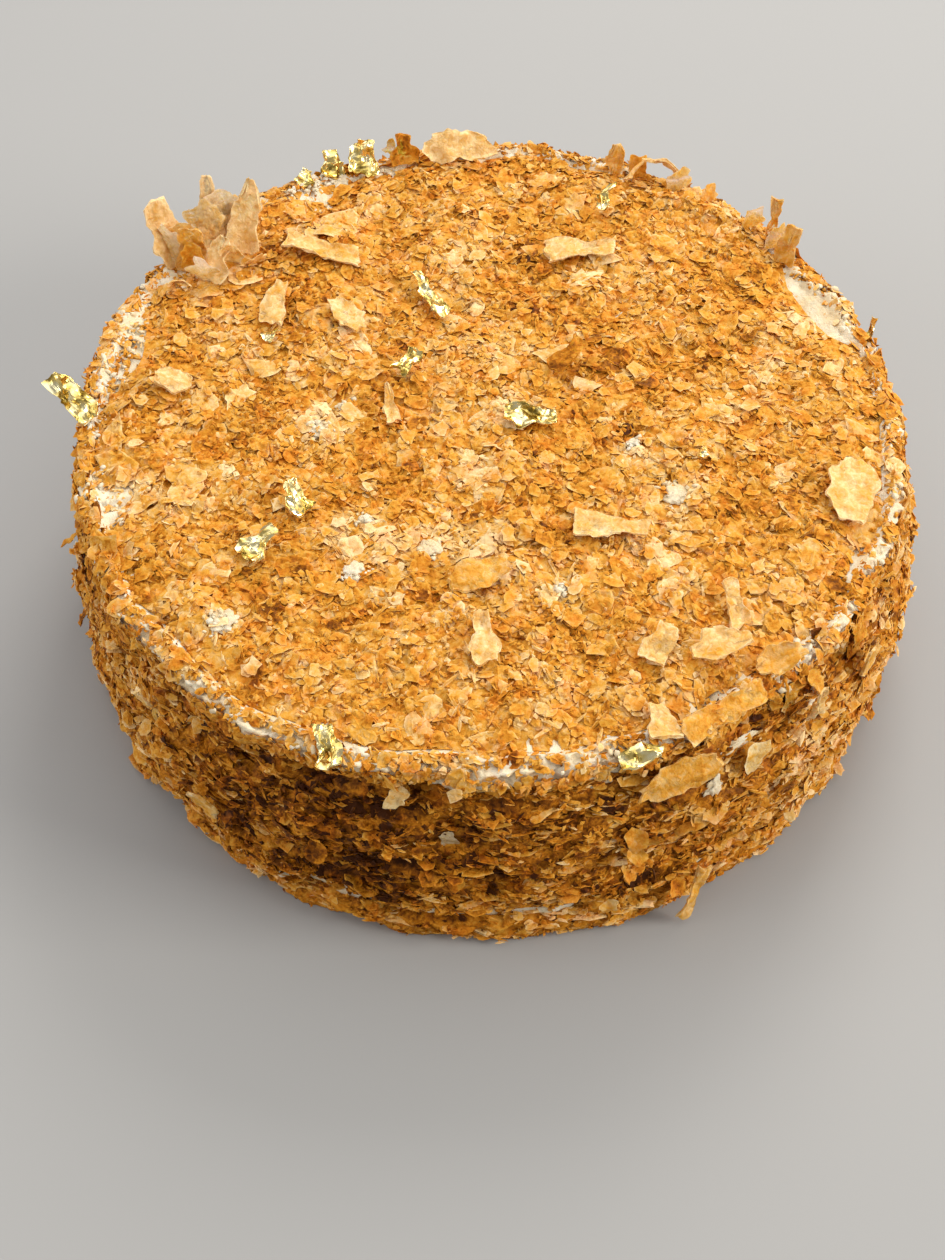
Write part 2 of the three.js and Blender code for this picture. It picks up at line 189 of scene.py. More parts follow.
def texture(tree, kind, scale, **values):
    """A texture over the piece, with features of about one metre divided by the scale."""
    place = tree.nodes.new("ShaderNodeTexCoord")
    node = tree.nodes.new("ShaderNodeTex" + kind)
    tree.links.new(place.outputs["Object"], node.inputs["Vector"])
    feed(tree, node.inputs["Scale"], scale)
    set_inputs(node, **values)
    return node.outputs[0]


def cloud(tree, scale, detail=2.0, roughness=0.5, distortion=0.0):
    return texture(tree, "Noise", scale, Detail=detail, Roughness=roughness, Distortion=distortion)


def ramp(tree, value, stops):
    node = tree.nodes.new("ShaderNodeValToRGB")
    elements = node.color_ramp.elements
    while len(elements) < len(stops):
        elements.new(0.5)
    for element, (position, color) in zip(elements, stops):
        element.position = position
        element.color = (*color, 1)
    tree.links.new(value, node.inputs["Fac"])
    return node.outputs["Color"]


def dressed_material(name, group, bump, bump_depth):
    """A material with the colour, roughness and relief of a group. The depth is in mm."""
    material, shader = new_material(name)
    tree = material.node_tree
    look = tree.nodes.new("ShaderNodeGroup")
    look.node_tree = group
    relief = tree.nodes.new("ShaderNodeBump")
    set_inputs(relief, Strength=bump, Distance=bump_depth * MM)
    tree.links.new(look.outputs["Color"], shader.inputs["Base Color"])
    tree.links.new(look.outputs["Roughness"], shader.inputs["Roughness"])
    tree.links.new(look.outputs["Height"], relief.inputs["Height"])
    tree.links.new(relief.outputs["Normal"], shader.inputs["Normal"])
    return material, shader, look


# %% Pastry colours
BAKE_STOPS = [
    (0.0, (0.92, 0.67, 0.35)),
    (0.2, (0.765, 0.475, 0.17)),
    (0.42, (0.72, 0.345, 0.042)),
    (0.62, (0.56, 0.20, 0.010)),
    (0.8, (0.23, 0.068, 0.003)),
    (1.0, (0.05, 0.012, 0.001)),
]

# Slight rosy and straw tints, so that scales of the same bake aren't all of one hue.
BLUSH_STOPS = [(0.36, (1.0, 0.84, 0.74)), (0.5, (1.0, 1.0, 1.0)), (0.64, (0.98, 1.0, 1.0))]
# Painted highlight: the thin edges of the scales are drawn paler, as if light catches them.
EDGE_PAINTED_HIGHLIGHT = -0.16


def make_bake_group():
    """The colour of a bake value, which varies in patches and grains, with a painted highlight at
    thin edges.
    """
    group, entry, leave = new_group(
        "baked pastry", Bake=0.4, Edge=0.0, Patches=0.3, Grains=0.5, Patch_Scale=300.0,
        Grain_Scale=1500.0, Blush=1.0,
    )
    patch = cloud(group, entry.outputs["Patch Scale"], 3, distortion=0.6)
    grain = cloud(group, entry.outputs["Grain Scale"], 3, distortion=0.6)
    bake = entry.outputs["Bake"]
    for spots, label in ((patch, "Patches"), (grain, "Grains")):
        shift = calculate(group, "SUBTRACT", spots, 0.5)
        shift = calculate(group, "MULTIPLY", shift, entry.outputs[label])
        bake = calculate(group, "ADD", bake, shift)
    sharp = calculate(group, "POWER", entry.outputs["Edge"], 3.0)
    shift = calculate(group, "MULTIPLY", sharp, EDGE_PAINTED_HIGHLIGHT)
    bake = calculate(group, "ADD", bake, shift, clamp=True)
    mix = group.nodes.new("ShaderNodeMix")
    mix.data_type = "RGBA"
    mix.blend_type = "MULTIPLY"
    group.links.new(entry.outputs["Blush"], mix.inputs["Factor"])
    group.links.new(ramp(group, bake, BAKE_STOPS), mix.inputs["A"])
    group.links.new(ramp(group, cloud(group, 230, 2), BLUSH_STOPS), mix.inputs["B"])
    group.links.new(mix.outputs["Result"], leave.inputs["Color"])
    shine = calculate(group, "MULTIPLY", grain, 0.4)
    group.links.new(calculate(group, "ADD", shine, 0.32), leave.inputs["Roughness"])
    rough = calculate(group, "MULTIPLY", grain, 0.7)
    group.links.new(calculate(group, "ADD", rough, patch), leave.inputs["Height"])
    return group


bake_group = make_bake_group()


def pastry_material(name, bump, glow, glow_depth, **values):
    """Pastry of one kind. Glow is how much light spreads inside it, over about glow_depth in mm."""
    material, shader, look = dressed_material(name, bake_group, bump, 0.6)
    for label in ("Bake", "Edge"):
        node = material.node_tree.nodes.new("ShaderNodeAttribute")
        node.attribute_name = label.lower()
        material.node_tree.links.new(node.outputs["Fac"], look.inputs[label])
    set_inputs(look, **values)
    set_inputs(shader, Specular_IOR_Level=0.1, Subsurface_Weight=glow)
    set_inputs(shader, Subsurface_Scale=glow_depth * MM, Subsurface_Radius=(1.0, 1.0, 0.8))
    return material


crumb_material = pastry_material(
    "pastry crumbs", 0.6, 0.0, 0.7,
    Patches=0.75, Patch_Scale=300, Grains=0.6, Grain_Scale=1100, Blush=1.0,
)
shard_material = pastry_material(
    "pastry shards", 1.0, 0.5, 0.4,
    Patches=0.6, Patch_Scale=260, Grains=0.7, Grain_Scale=800, Blush=0.1,
)
print("materials", crumb_material.name, "and", shard_material.name)

# %% Cream
CREAM_STOPS = [(0.3, (0.76, 0.58, 0.33)), (0.5, (0.80, 0.68, 0.47)), (0.75, (0.86, 0.79, 0.66))]


def skin_group(name, tint_scale, stops, fine, smoothest):
    """A group with a softly changing colour, and a roughness from a fine noise."""
    group, _, leave = new_group(name)
    group.links.new(ramp(group, cloud(group, tint_scale, 3), stops), leave.inputs["Color"])
    fine = cloud(group, *fine)
    shine = calculate(group, "ADD", calculate(group, "MULTIPLY", fine, 0.3), smoothest)
    group.links.new(shine, leave.inputs["Roughness"])
    return group, fine, leave.inputs["Height"]


def make_cream_material():
    group, fine, height = skin_group("whipped cream", 160, CREAM_STOPS, (520, 5, 0.65), 0.3)
    group.links.new(fine, height)
    material, shader, _ = dressed_material("cream", group, 0.8, 0.8)
    set_inputs(shader, Subsurface_Weight=0.2, Subsurface_Scale=0.8 * MM)
    set_inputs(shader, Subsurface_Radius=(1.0, 0.8, 0.6))
    return material


cream_material = make_cream_material()
print("material", cream_material.name)

# %% Gold leaf
# Partly painted reflection: the foil's colour goes in soft patches from dark olive to pale lemon,
# which paints dark and bright reflections over its gold.
GOLD_AND_REFLECTION_STOPS = [(0.34, (0.30, 0.19, 0.03)), (0.46, (0.88, 0.66, 0.20)), (0.64, (1.0, 0.90, 0.56))]


def make_gold_material():
    """Foil, whose creases bound many small cells."""
    group, _, height = skin_group("gold leaf", 300, GOLD_AND_REFLECTION_STOPS, (900, 3), 0.08)
    group.links.new(texture(group, "Voronoi", 340), height)
    material, shader, _ = dressed_material("gold leaf", group, 0.45, 0.4)
    set_inputs(shader, Metallic=1)
    return material


gold_material = make_gold_material()
print("material", gold_material.name)

# %% [markdown]
# ## Where the cake's wall steps in and out
# The side is a stack of thin layers, so it has ledges that run round it, with hollows between
# them. Both the core and the crumbs on it follow the same steps, which are kept here as functions
# of the place.

# %% Steps of the side
# All lengths are in mm. A place on the side is u, the length round it from the front towards the
# right, and v, the height.
RIM_MIDDLE = (-0.6, 2.1)
SIDE_ROUND = 691.5
LEDGE_TALL = 7.5
LEDGE_DEPTH = 3.8
SHEET_TALL = 2.3
DEEPEST = 3
DARK_HOLLOWS = [
    # azimuth, height, half-length, half-height, depth in mm
    (-21, 58, 12, 4.5, 3.6), (-13, 52, 12, 4, 3.2), (-29, 51, 10, 3.5, 2.6), (-12, 34, 14, 3, 3.2),
    (1, 30, 18, 3, 3.4), (-19, 21, 14, 4, 2.8), (-8, 9.5, 14, 2.2, 2.8), (-51, 41, 9, 5, 3.0),
    (-47, 5, 7, 8, 3.4), (-61, 18, 9, 5, 2.4), (23, 51, 12, 4, 3.4), (42, 57, 7, 5, 1.0),
    (41, 49, 6, 3, 1.0), (19, 20, 8, 5, 2.6), (2, 57, 10, 3, 2.4), (60, 40, 14, 3, 1.0),
    (-36, 24, 12, 2.5, 2.2),
]


def hill(place, size, seed):
    """Smooth noise from -1 to 1 at a place in mm, with lumps of the size in mm."""
    return noise.noise(Vector(place) / size + Vector((seed, 2 * seed, 3 * seed)))


def turn_between(a, b):
    """The turn in degrees from b to a, the shorter way."""
    return (a - b + 540) % 360 - 180


def swell(distance, reach):
    """1 in the middle of a spot, falling smoothly to 0 at its edge."""
    share = min(abs(distance) / reach, 1)
    return (1 - share * share) ** 2


def sway(u, v):
    """How far the layers have sunk or risen at a place, in mm."""
    return 3.0 * hill((u, 0, v), 30, 3.7) + 1.8 * hill((u, 0, v), 9, 4.9)


def ledge(u, v):
    """The saw-toothed steps of the ledges: each comes out slowly downwards, and then drops back."""
    share = ((v + sway(u, v)) / LEDGE_TALL) % 1
    fade = 0.55 + 0.45 * hill((u, 0, v), 18, 6.1)
    return LEDGE_DEPTH * fade * (0.5 - share)


def degrees_round(u):
    return u / SIDE_ROUND * 360


def hollow(u, v):
    """How deep the dark hollows are at a place."""
    depth = 0.0
    for azimuth, z, long, tall, push in DARK_HOLLOWS:
        across = turn_between(degrees_round(u), azimuth) / 360 * SIDE_ROUND
        depth += push * swell(math.hypot(across / long, (v - z) / tall), 1)
    return depth


def round_place(point):
    """A point in metres as its length round the side and its height, in mm."""
    azimuth = math.atan2(point.x, -point.y) % (2 * math.pi)
    return azimuth / (2 * math.pi) * SIDE_ROUND, point.z / MM


def round_axes(azimuth):
    """The directions outwards and to the right at an azimuth in radians."""
    across, ahead = math.sin(azimuth), math.cos(azimuth)
    return np.array([across, -ahead, 0]), np.array([ahead, across, 0])


def from_rim_middle(x, y):
    """A place's distance from the middle of the rim, and its azimuth in degrees."""
    dx, dy = x - RIM_MIDDLE[0], y - RIM_MIDDLE[1]
    return math.hypot(dx, dy), math.degrees(math.atan2(dx, -dy))


# %% [markdown]
# ## The core under the crumbs
# The crumbs lie on a core of layers: pastry, a line of cream, pastry, and the cream on top. The
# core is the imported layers, merged into closed skins, cut finer, and drawn in a little, so that
# there is room for real crumbs. Noise on its points gives it the lumps of packed crumbs.

# %% Layer copies
LAYERS = ["pastry_base", "cream_low", "pastry_body", "cream_top", "crumb_top"]


def node_skin(name):
    """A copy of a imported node, as one merged skin."""
    bm = bmesh.new()
    bm.from_mesh(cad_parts[name].data)
    bmesh.ops.remove_doubles(bm, verts=bm.verts, dist=1e-6)
    return bm


def finer_skin(name, cuts, chosen=lambda place: True):
    """The same, with finer edges where both ends are at a chosen place."""
    bm = node_skin(name)
    edges = [e for e in bm.edges if all(chosen(v.co) for v in e.verts)]
    bmesh.ops.subdivide_edges(bm, edges=edges, cuts=cuts, use_grid_fill=True)
    bm.normal_update()
    return bm


def show_piece(name, data, material, values, replaced=()):
    """Puts a mesh in the scene. `values` gives each point's value of a named attribute."""
    data.materials.append(material)
    for label, numbers in values.items():
        layer = data.attributes.new(label, "FLOAT", "POINT")
        layer.data.foreach_set("value", np.asarray(numbers, dtype=np.float32))
    piece = link_to_scene(name, data)
    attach(piece, BODY)
    if replaced:
        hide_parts(*replaced)
    print(name, "triangles", len(data.loops) - 2 * len(data.polygons))


def add_piece(name, bm, material, slot, replaced=(), **values):
    data = bpy.data.meshes.new(name)
    bm.to_mesh(data)
    bm.free()
    show_piece(name, data, material, values, replaced)


NEAR_WALL = 80


def near_wall(place):
    return place.xy.length > NEAR_WALL * MM


def smoothed(bm):
    for face in bm.faces:
        face.smooth = True


SIDE_DROP = 2.6
DRAWN_IN_FROM = 60


def side_core(name, cuts, ripple, bake):
    """A layer of pastry, drawn in under the crumbs of the side."""
    bm = finer_skin(name, cuts, near_wall)
    bakes = []
    for vert in bm.verts:
        flat = Vector((vert.co.x, vert.co.y, 0))
        place = vert.co / MM
        bakes.append(bake + 0.12 * hill(place, 6, 2.2))
        if flat.length < DRAWN_IN_FROM * MM:
            continue
        u, v = round_place(vert.co)
        lumps = hill(place, 3, 1.3) + 0.6 * hill(place, 1.5, 5.1)
        depth = min(hollow(u, v), DEEPEST)
        vert.co -= flat.normalized() * (SIDE_DROP - ledge(u, v) + depth - ripple * lumps) * MM
        # Painted shade: the core is drawn browner the deeper the hollow.
        bakes[-1] += 0.12 * depth
    smoothed(bm)
    add_piece("core_" + name, bm, crumb_material, "pastry", [name], bake=bakes)


side_core("pastry_base", 4, 0.7, 0.6)
side_core("pastry_body", 4, 0.9, 0.72)

# %% The core of the crumbs on top
CRUMB_FLOOR = 66.1
TOP_DROP = 1.5
# azimuth and half-width in degrees, distance from the rim's middle, half-depth and rise in mm
MOUNDS = [(141, 16, 99, 9, 4.2), (-146, 12, 99, 7, 2.0)]


def mound(x, y):
    """How much higher the crumbs are heaped at the back rim."""
    distance, azimuth = from_rim_middle(x, y)
    rise = 0.0
    for middle, wide, reach, deep, tall in MOUNDS:
        away = math.hypot(turn_between(azimuth, middle) / wide, (distance - reach) / deep)
        rise += tall * swell(away, 1) * (1 + 0.5 * hill((x, y, 0), 5, 6.6))
    return rise


def top_core():
    """The crumbs on top, sunk under the strewn ones. Their lower face stays where it is."""
    bm = finer_skin("crumb_top", 6, lambda place: place.z > (CRUMB_FLOOR + 1) * MM)
    bakes = []
    for vert in bm.verts:
        place = vert.co / MM
        lumps = 0.5 * hill(place, 4, 3.3) + 0.4 * hill(place, 1.7, 4.1)
        if place.z > CRUMB_FLOOR:
            level = place.z - TOP_DROP + lumps + mound(place.x, place.y)
            vert.co.z = max(CRUMB_FLOOR, level) * MM
        bakes.append(0.46 + 0.16 * hill(place, 6, 2.2) - 0.08 * lumps)
    smoothed(bm)
    add_piece("core_crumb_top", bm, crumb_material, "crumb", ["crumb_top"], bake=bakes)


top_core()

# %% The two cream layers
CREAM_EDGE = 65.9


def cream_piece(name, cuts, inward, ripple):
    """Cream, with the grainy skin that it gets where crumbs have been pressed to it."""
    bm = finer_skin(name, cuts, near_wall)
    for vert in bm.verts:
        place = vert.co / MM
        flat = Vector((place.x, place.y, 0))
        if flat.length < NEAR_WALL:
            continue
        lumps = 0.7 * hill(place, 7, 6.3) + 0.7 * hill(place, 2.6, 7.7)
        lumps += 0.7 * hill(place, 1.2, 8.2)
        vert.co += flat.normalized() * (ripple * lumps - inward) * MM
        if place.z > CREAM_EDGE:
            vert.co.z += (ripple * lumps - 0.2) * MM
    smoothed(bm)
    add_piece(name + "_spread", bm, cream_material, "cream", [name])


cream_piece("cream_low", 4, 2.6, 0.6)
cream_piece("cream_top", 9, 0.8, 1.1)

# %% [markdown]
# ## Shards and crumbs as single shapes
# When pastry is rubbed to crumbs it breaks into thin, curved, ragged scales, with a few splinters
# and grains. A handful of shapes is made for each kind: a ball is flattened to a lens with thin
# edges, its outline is cut to a random polygon, and it is bent and roughened. Thousands of turned
# copies of these few shapes make the heap.

# %% One scale of pastry
def random_outline(rng, corners):
    """The distance from the middle to the edge of a random polygon, as a function of the angle."""
    angles = np.sort((np.arange(corners) + rng.uniform(-0.35, 0.35, corners)) * 2 * np.pi / corners)
    radii = rng.uniform(0.7, 1.12, corners)
    points = np.stack([radii * np.cos(angles), radii * np.sin(angles)], 1)

    def edge(angle):
        look = np.array([math.cos(angle), math.sin(angle)])
        best = 1.0
        for start, end in zip(points, np.roll(points, -1, 0)):
            side = end - start
            across = look[0] * side[1] - look[1] * side[0]
            if abs(across) < 1e-9:
                continue
            along = (start[0] * side[1] - start[1] * side[0]) / across
            share = (start[0] * look[1] - start[1] * look[0]) / across
            if along > 0 and -1e-6 <= share <= 1 + 1e-6:
                best = along
        return best

    return edge


def scale_shape(rng, length, slimness, thickness, ball, curl, rough):
    """A thin ragged scale, length along X. The slimness and the curl are ranges, and the ball
    that it is made from has so many corners and rings."""
    width = length * rng.uniform(*slimness)
    curl = rng.uniform(*curl)
    corners, rings = ball
    bm = bmesh.new()
    bmesh.ops.create_uvsphere(bm, u_segments=corners, v_segments=rings, radius=1)
    edge = random_outline(rng, int(rng.integers(5, 9)))
    turn = rng.uniform(0, 2 * np.pi)
    ragged = 1 + rng.normal(0, 0.08, corners)
    twist = rng.normal(0, 0.12)
    seed = rng.uniform(0, 50)
    nearness = []
    for vert in bm.verts:
        x, y, side = vert.co
        reach = math.hypot(x, y)
        nearness.append(max(0.0, 2 * reach - 1))
        if reach > 1e-6:
            number = round(math.atan2(y, x) / (2 * math.pi) * corners) % corners
            grow = edge(math.atan2(y, x) + turn) * ragged[number]
            x, y = x * grow, y * grow
        lift = -curl * x * x + twist * x * y * 2
        vert.co = Vector((x * length / 2, y * width / 2, lift * length / 2))
        crease = noise.noise(vert.co * 0.7 + Vector((seed, seed, seed)))
        vert.co.z += rough * crease + (math.copysign(thickness / 2, side) if abs(side) > 0.1 else 0)
    return shape_arrays(bm, nearness)


def grain_shape(rng, size):
    """A small broken grain, from an eight-sided block."""
    bm = bmesh.new()
    bmesh.ops.create_uvsphere(bm, u_segments=4, v_segments=2, radius=size / 2)
    for vert in bm.verts:
        vert.co = Vector([c * rng.uniform(0.55, 1.3) for c in vert.co])
        vert.co.z *= 0.5
        vert.co.y *= 0.8
        vert.co += Vector(rng.uniform(-0.12, 0.12, 3)) * size
    return shape_arrays(bm, [0.6] * len(bm.verts))


def shape_arrays(bm, nearness):
    """A shape's points in mm, its faces, and how near each point is to the edge, up to 1."""
    points = np.array([v.co for v in bm.verts])
    bm.verts.index_update()
    faces = [[v.index for v in f.verts] for f in bm.faces]
    bm.free()
    return {
        "points": points,
        "corners": np.concatenate(faces),
        "sizes": np.array([len(f) for f in faces]),
        "edge": np.array(nearness),
        "half": np.abs(points).max(0),
        "triangles": sum(len(f) - 2 for f in faces),
    }


def lump_shape(rng, size, sheets):
    """A torn lump of pastry: thin sheets one over the other, which come apart towards the edge."""
    bm = bmesh.new()
    height = -0.25 * sheets
    for _ in range(sheets):
        made = bmesh.ops.create_uvsphere(bm, u_segments=8, v_segments=2, radius=1)
        wide, deep = size * rng.uniform(0.3, 0.55, 2)
        shift = rng.normal(0, 0.13, 2) * size
        slope = rng.normal(0, 0.14, 2)
        bend = rng.uniform(-0.09, 0.05)
        for vert in made["verts"]:
            x, y, side = vert.co
            ragged = rng.uniform(0.6, 1.25) if abs(side) < 0.5 else 1
            x, y = x * wide * ragged, y * deep * ragged
            lift = height + 0.14 * side + bend * (x * x + y * y) / size
            lift += slope[0] * x + slope[1] * y
            lift += rng.uniform(-0.22, 0.22) if abs(side) < 0.5 else 0
            vert.co = Vector((x + shift[0], y + shift[1], lift))
        height += rng.uniform(0.3, 0.7)
    near = [1.0 if abs(len(v.link_faces) - 4) < 1 else 0.2 for v in bm.verts]
    return shape_arrays(bm, near)


def curd_shape(rng, size):
    """A round lump of cream."""
    bm = bmesh.new()
    bmesh.ops.create_uvsphere(bm, u_segments=6, v_segments=4, radius=size / 2)
    stretch = Vector((*rng.uniform(0.7, 1.4, 2), 0.6))
    for vert in bm.verts:
        lump = 1 + 0.35 * rng.normal(0, 0.5)
        vert.co = Vector([c * wide * lump for c, wide in zip(vert.co, stretch)])
    return shape_arrays(bm, [0.0] * len(bm.verts))


# %% The kinds of crumb
def handful(seed, count, make, sizes, *more):
    """So many shapes of one kind, of sizes between two limits in mm."""
    rng = np.random.default_rng(seed)
    return [make(rng, rng.uniform(*sizes), *more) for _ in range(count)]


KINDS = {
    "sheet": handful(10, 22, scale_shape, (9, 15), (0.5, 0.85), 0.34, (16, 6), (-0.03, 0.05), 0.9),
    "broad": handful(11, 20, scale_shape, (7.5, 12), (0.5, 0.9), 0.32, (12, 4), (-0.04, 0.07), 0.7),
    "medium": handful(12, 30, scale_shape, (4.4, 7.8), (0.45, 0.9), 0.3, (9, 4), (-0.06, 0.1), 0.5),
    "small": handful(13, 30, scale_shape, (2.2, 4.6), (0.4, 0.9), 0.28, (8, 2), (-0.1, 0.14), 0.35),
    "splinter": handful(
        14, 20, scale_shape, (3, 8.5), (0.1, 0.24), 0.34, (6, 2), (-0.15, 0.2), 0.6
    ),
    "grain": handful(15, 20, grain_shape, (1.1, 2.5)),
    "strip": handful(16, 24, scale_shape, (5, 11), (0.3, 0.55), 0.3, (6, 4), (-0.08, 0.12), 0.7),
    "lump": handful(17, 30, lump_shape, (2.8, 5.8), 4),
    "curd": handful(18, 16, curd_shape, (1.0, 2.6)),
}
for kind, shapes in KINDS.items():
    print(kind, "triangles each", shapes[0]["triangles"])

# %% [markdown]
# ## Beds: surfaces that crumbs are laid on
# A heap grows as crumbs fall on it. The top and the side are each kept as a grid of heights. A
# scale is laid on the grid by fitting a plane to the heights under it, and then the grid rises by
# its thickness, so that the next one lies on it. A physics run could do this too, but takes far
# longer.

# %% Heights of the solids
CELL = 0.75
SIDE_TOP = 68.5
BEAD_LOW = 66.9
NO_CAKE = 60.0
TOP_HALF = 118.5
USUAL_RADIUS = 104


def layer_rays():
    bm = bmesh.new()
    for name in LAYERS:
        bm.from_mesh(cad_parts[name].data)
    tree = BVHTree.FromBMesh(bm)
    bm.free()
    return tree


rays = layer_rays()


def top_heights():
    """The heights of the solids from above, in a square grid round the middle."""
    count = int(2 * TOP_HALF / CELL)
    heights = np.full((count, count), NO_CAKE)
    for i in range(count):
        x = (-TOP_HALF + (i + 0.5) * CELL) * MM
        for j in range(count):
            y = (-TOP_HALF + (j + 0.5) * CELL) * MM
            hit = rays.ray_cast(Vector((x, y, 0.2)), Vector((0, 0, -1)))[0]
            if hit:
                heights[i, j] = max(hit.z / MM, NO_CAKE)
    return heights


def side_heights():
    """Distance from the axis at each azimuth, as a length round the side, and height."""
    around = int(SIDE_ROUND / CELL)
    up = int(SIDE_TOP / CELL)
    heights = np.zeros((around, up))
    for i in range(around):
        out = Vector(round_axes(2 * math.pi * (i + 0.5) / around)[0])
        for j in range(up):
            z = min((j + 0.5) * CELL, BEAD_LOW)
            hit = rays.ray_cast(out * 0.2 + Vector((0, 0, z * MM)), -out)[0]
            heights[i, j] = hit.xy.length / MM if hit else USUAL_RADIUS
    return heights


top_solid = top_heights()
side_solid = side_heights()
print("heights", top_solid.shape, side_solid.shape)

# %% The bed
SPOTS = np.array(
    [(0, 0)]
    + [(0.5 * math.cos(a), 0.5 * math.sin(a)) for a in np.arange(6) * math.pi / 3]
    + [(0.92 * math.cos(a), 0.92 * math.sin(a)) for a in np.arange(8) * math.pi / 4]
)


class Bed:
    """A grid of heights. `frame_at` gives the point and the three directions at u, v, height."""

    def __init__(self, low, heights, cells, frame_at, wraps):
        self.low = low
        self.heights = heights
        self.cells = cells
        self.frame_at = frame_at
        self.wraps = wraps

    def index(self, along, axis):
        whole = np.floor((along - self.low[axis]) / self.cells[axis]).astype(int)
        if axis == 0 and self.wraps:
            return whole % self.heights.shape[0]
        return np.clip(whole, 0, self.heights.shape[axis] - 1)

    def rest(self, u, v, half, heading, sink):
        """The plane that a scale rests on: its middle height, and its slopes along and across."""
        p = SPOTS[:, 0] * half[0]
        q = SPOTS[:, 1] * half[1]
        c, s = math.cos(heading), math.sin(heading)
        under = self.heights[self.index(u + c * p - s * q, 0), self.index(v + s * p + c * q, 1)]
        slope_p = np.clip((p * under).sum() / (p * p).sum(), -0.6, 0.6)
        slope_q = np.clip((q * under).sum() / (q * q).sum(), -0.6, 0.6)
        mean = under.mean()
        bump = (under - mean - slope_p * p - slope_q * q).max()
        return mean + bump * (1 - sink), slope_p, slope_q

    def heap(self, u, v, half, heading, plane, thickness):
        """Raises the heights under a scale to its upper face."""
        reach = max(half[0], half[1])
        spans = []
        for axis, middle in ((0, u), (1, v)):
            steps = int(reach / self.cells[axis]) + 1
            spans.append(middle + np.arange(-steps, steps + 1) * self.cells[axis])
        rows, columns = self.index(spans[0], 0), self.index(spans[1], 1)
        du, dv = (spans[0] - u)[:, None], (spans[1] - v)[None, :]
        c, s = math.cos(heading), math.sin(heading)
        p, q = c * du + s * dv, c * dv - s * du
        level, slope_p, slope_q = plane
        upper = level + thickness + slope_p * p + slope_q * q
        inside = (p / half[0]) ** 2 + (q / half[1]) ** 2 < 0.85
        block = np.ix_(rows, columns)
        before = self.heights[block]
        self.heights[block] = np.where(inside, np.maximum(before, upper), before)

    def cell(self, u, v):
        return int(self.index(u, 0)), int(self.index(v, 1))

    def height_at(self, u, v):
        return self.heights[self.cell(u, v)]


def top_frame(u, v, height):
    return np.array([u, v, height]), np.eye(3)


def side_frame(u, v, height):
    out, right = round_axes(2 * math.pi * u / SIDE_ROUND)
    return out * height + np.array([0, 0, v]), np.stack([right, np.array([0, 0, 1.0]), out], 1)


# %% Laying scales on a bed
LOWEST = 0.25
# The copies laid so far, for each piece and each shape of a kind.
laid_copies = {}


def turned(slope_p, slope_q, heading):
    """The directions of a scale's length, width and face on a plane with these slopes."""
    c, s = math.cos(heading), math.sin(heading)
    along = np.array([c, s, slope_p])
    along /= np.linalg.norm(along)
    across = np.array([-s, c, slope_q])
    across -= along * across.dot(along)
    across /= np.linalg.norm(across)
    return np.stack([along, across, np.cross(along, across)], 1)


def drop(piece, kind, number, point, turn, bake):
    """Adds one scale, lifted where it would reach below the cake."""
    lowest = point[2] + (KINDS[kind][number]["points"] @ turn.T)[:, 2].min()
    point[2] += max(0, LOWEST - lowest)
    laid_copies.setdefault((piece, kind, number), []).append((point, turn, bake))


def lay(bed, piece, kind, u, v, heading, tilt, rng, bake, sink=0.8, grow=1.0):
    """Lays one scale of a kind at u, v. `tilt` adds to its slopes along and across."""
    number = int(rng.integers(len(KINDS[kind])))
    shape = KINDS[kind][number]
    half = shape["half"][:2] * grow
    level, slope_p, slope_q = bed.rest(u, v, half, heading, sink)
    thick = shape["half"][2] * grow
    slope_p += tilt[0]
    slope_q += tilt[1]
    level += 0.2 * (abs(tilt[0]) * half[0] + abs(tilt[1]) * half[1])
    bed.heap(u, v, half, heading, (level, slope_p, slope_q), min(thick, 0.3))
    point, directions = bed.frame_at(u, v, level + 0.12 * thick)
    drop(piece, kind, number, point, directions @ turned(slope_p, slope_q, heading) * grow, bake)


# %% [markdown]
# ## Where cream shows
# The crumbs cover the top and the rim, and leave patches of cream bare: bays along the rim, a
# thin line at the front, and small spots on top. Each patch gets a ragged outline, and a few
# crumbs stick in it.

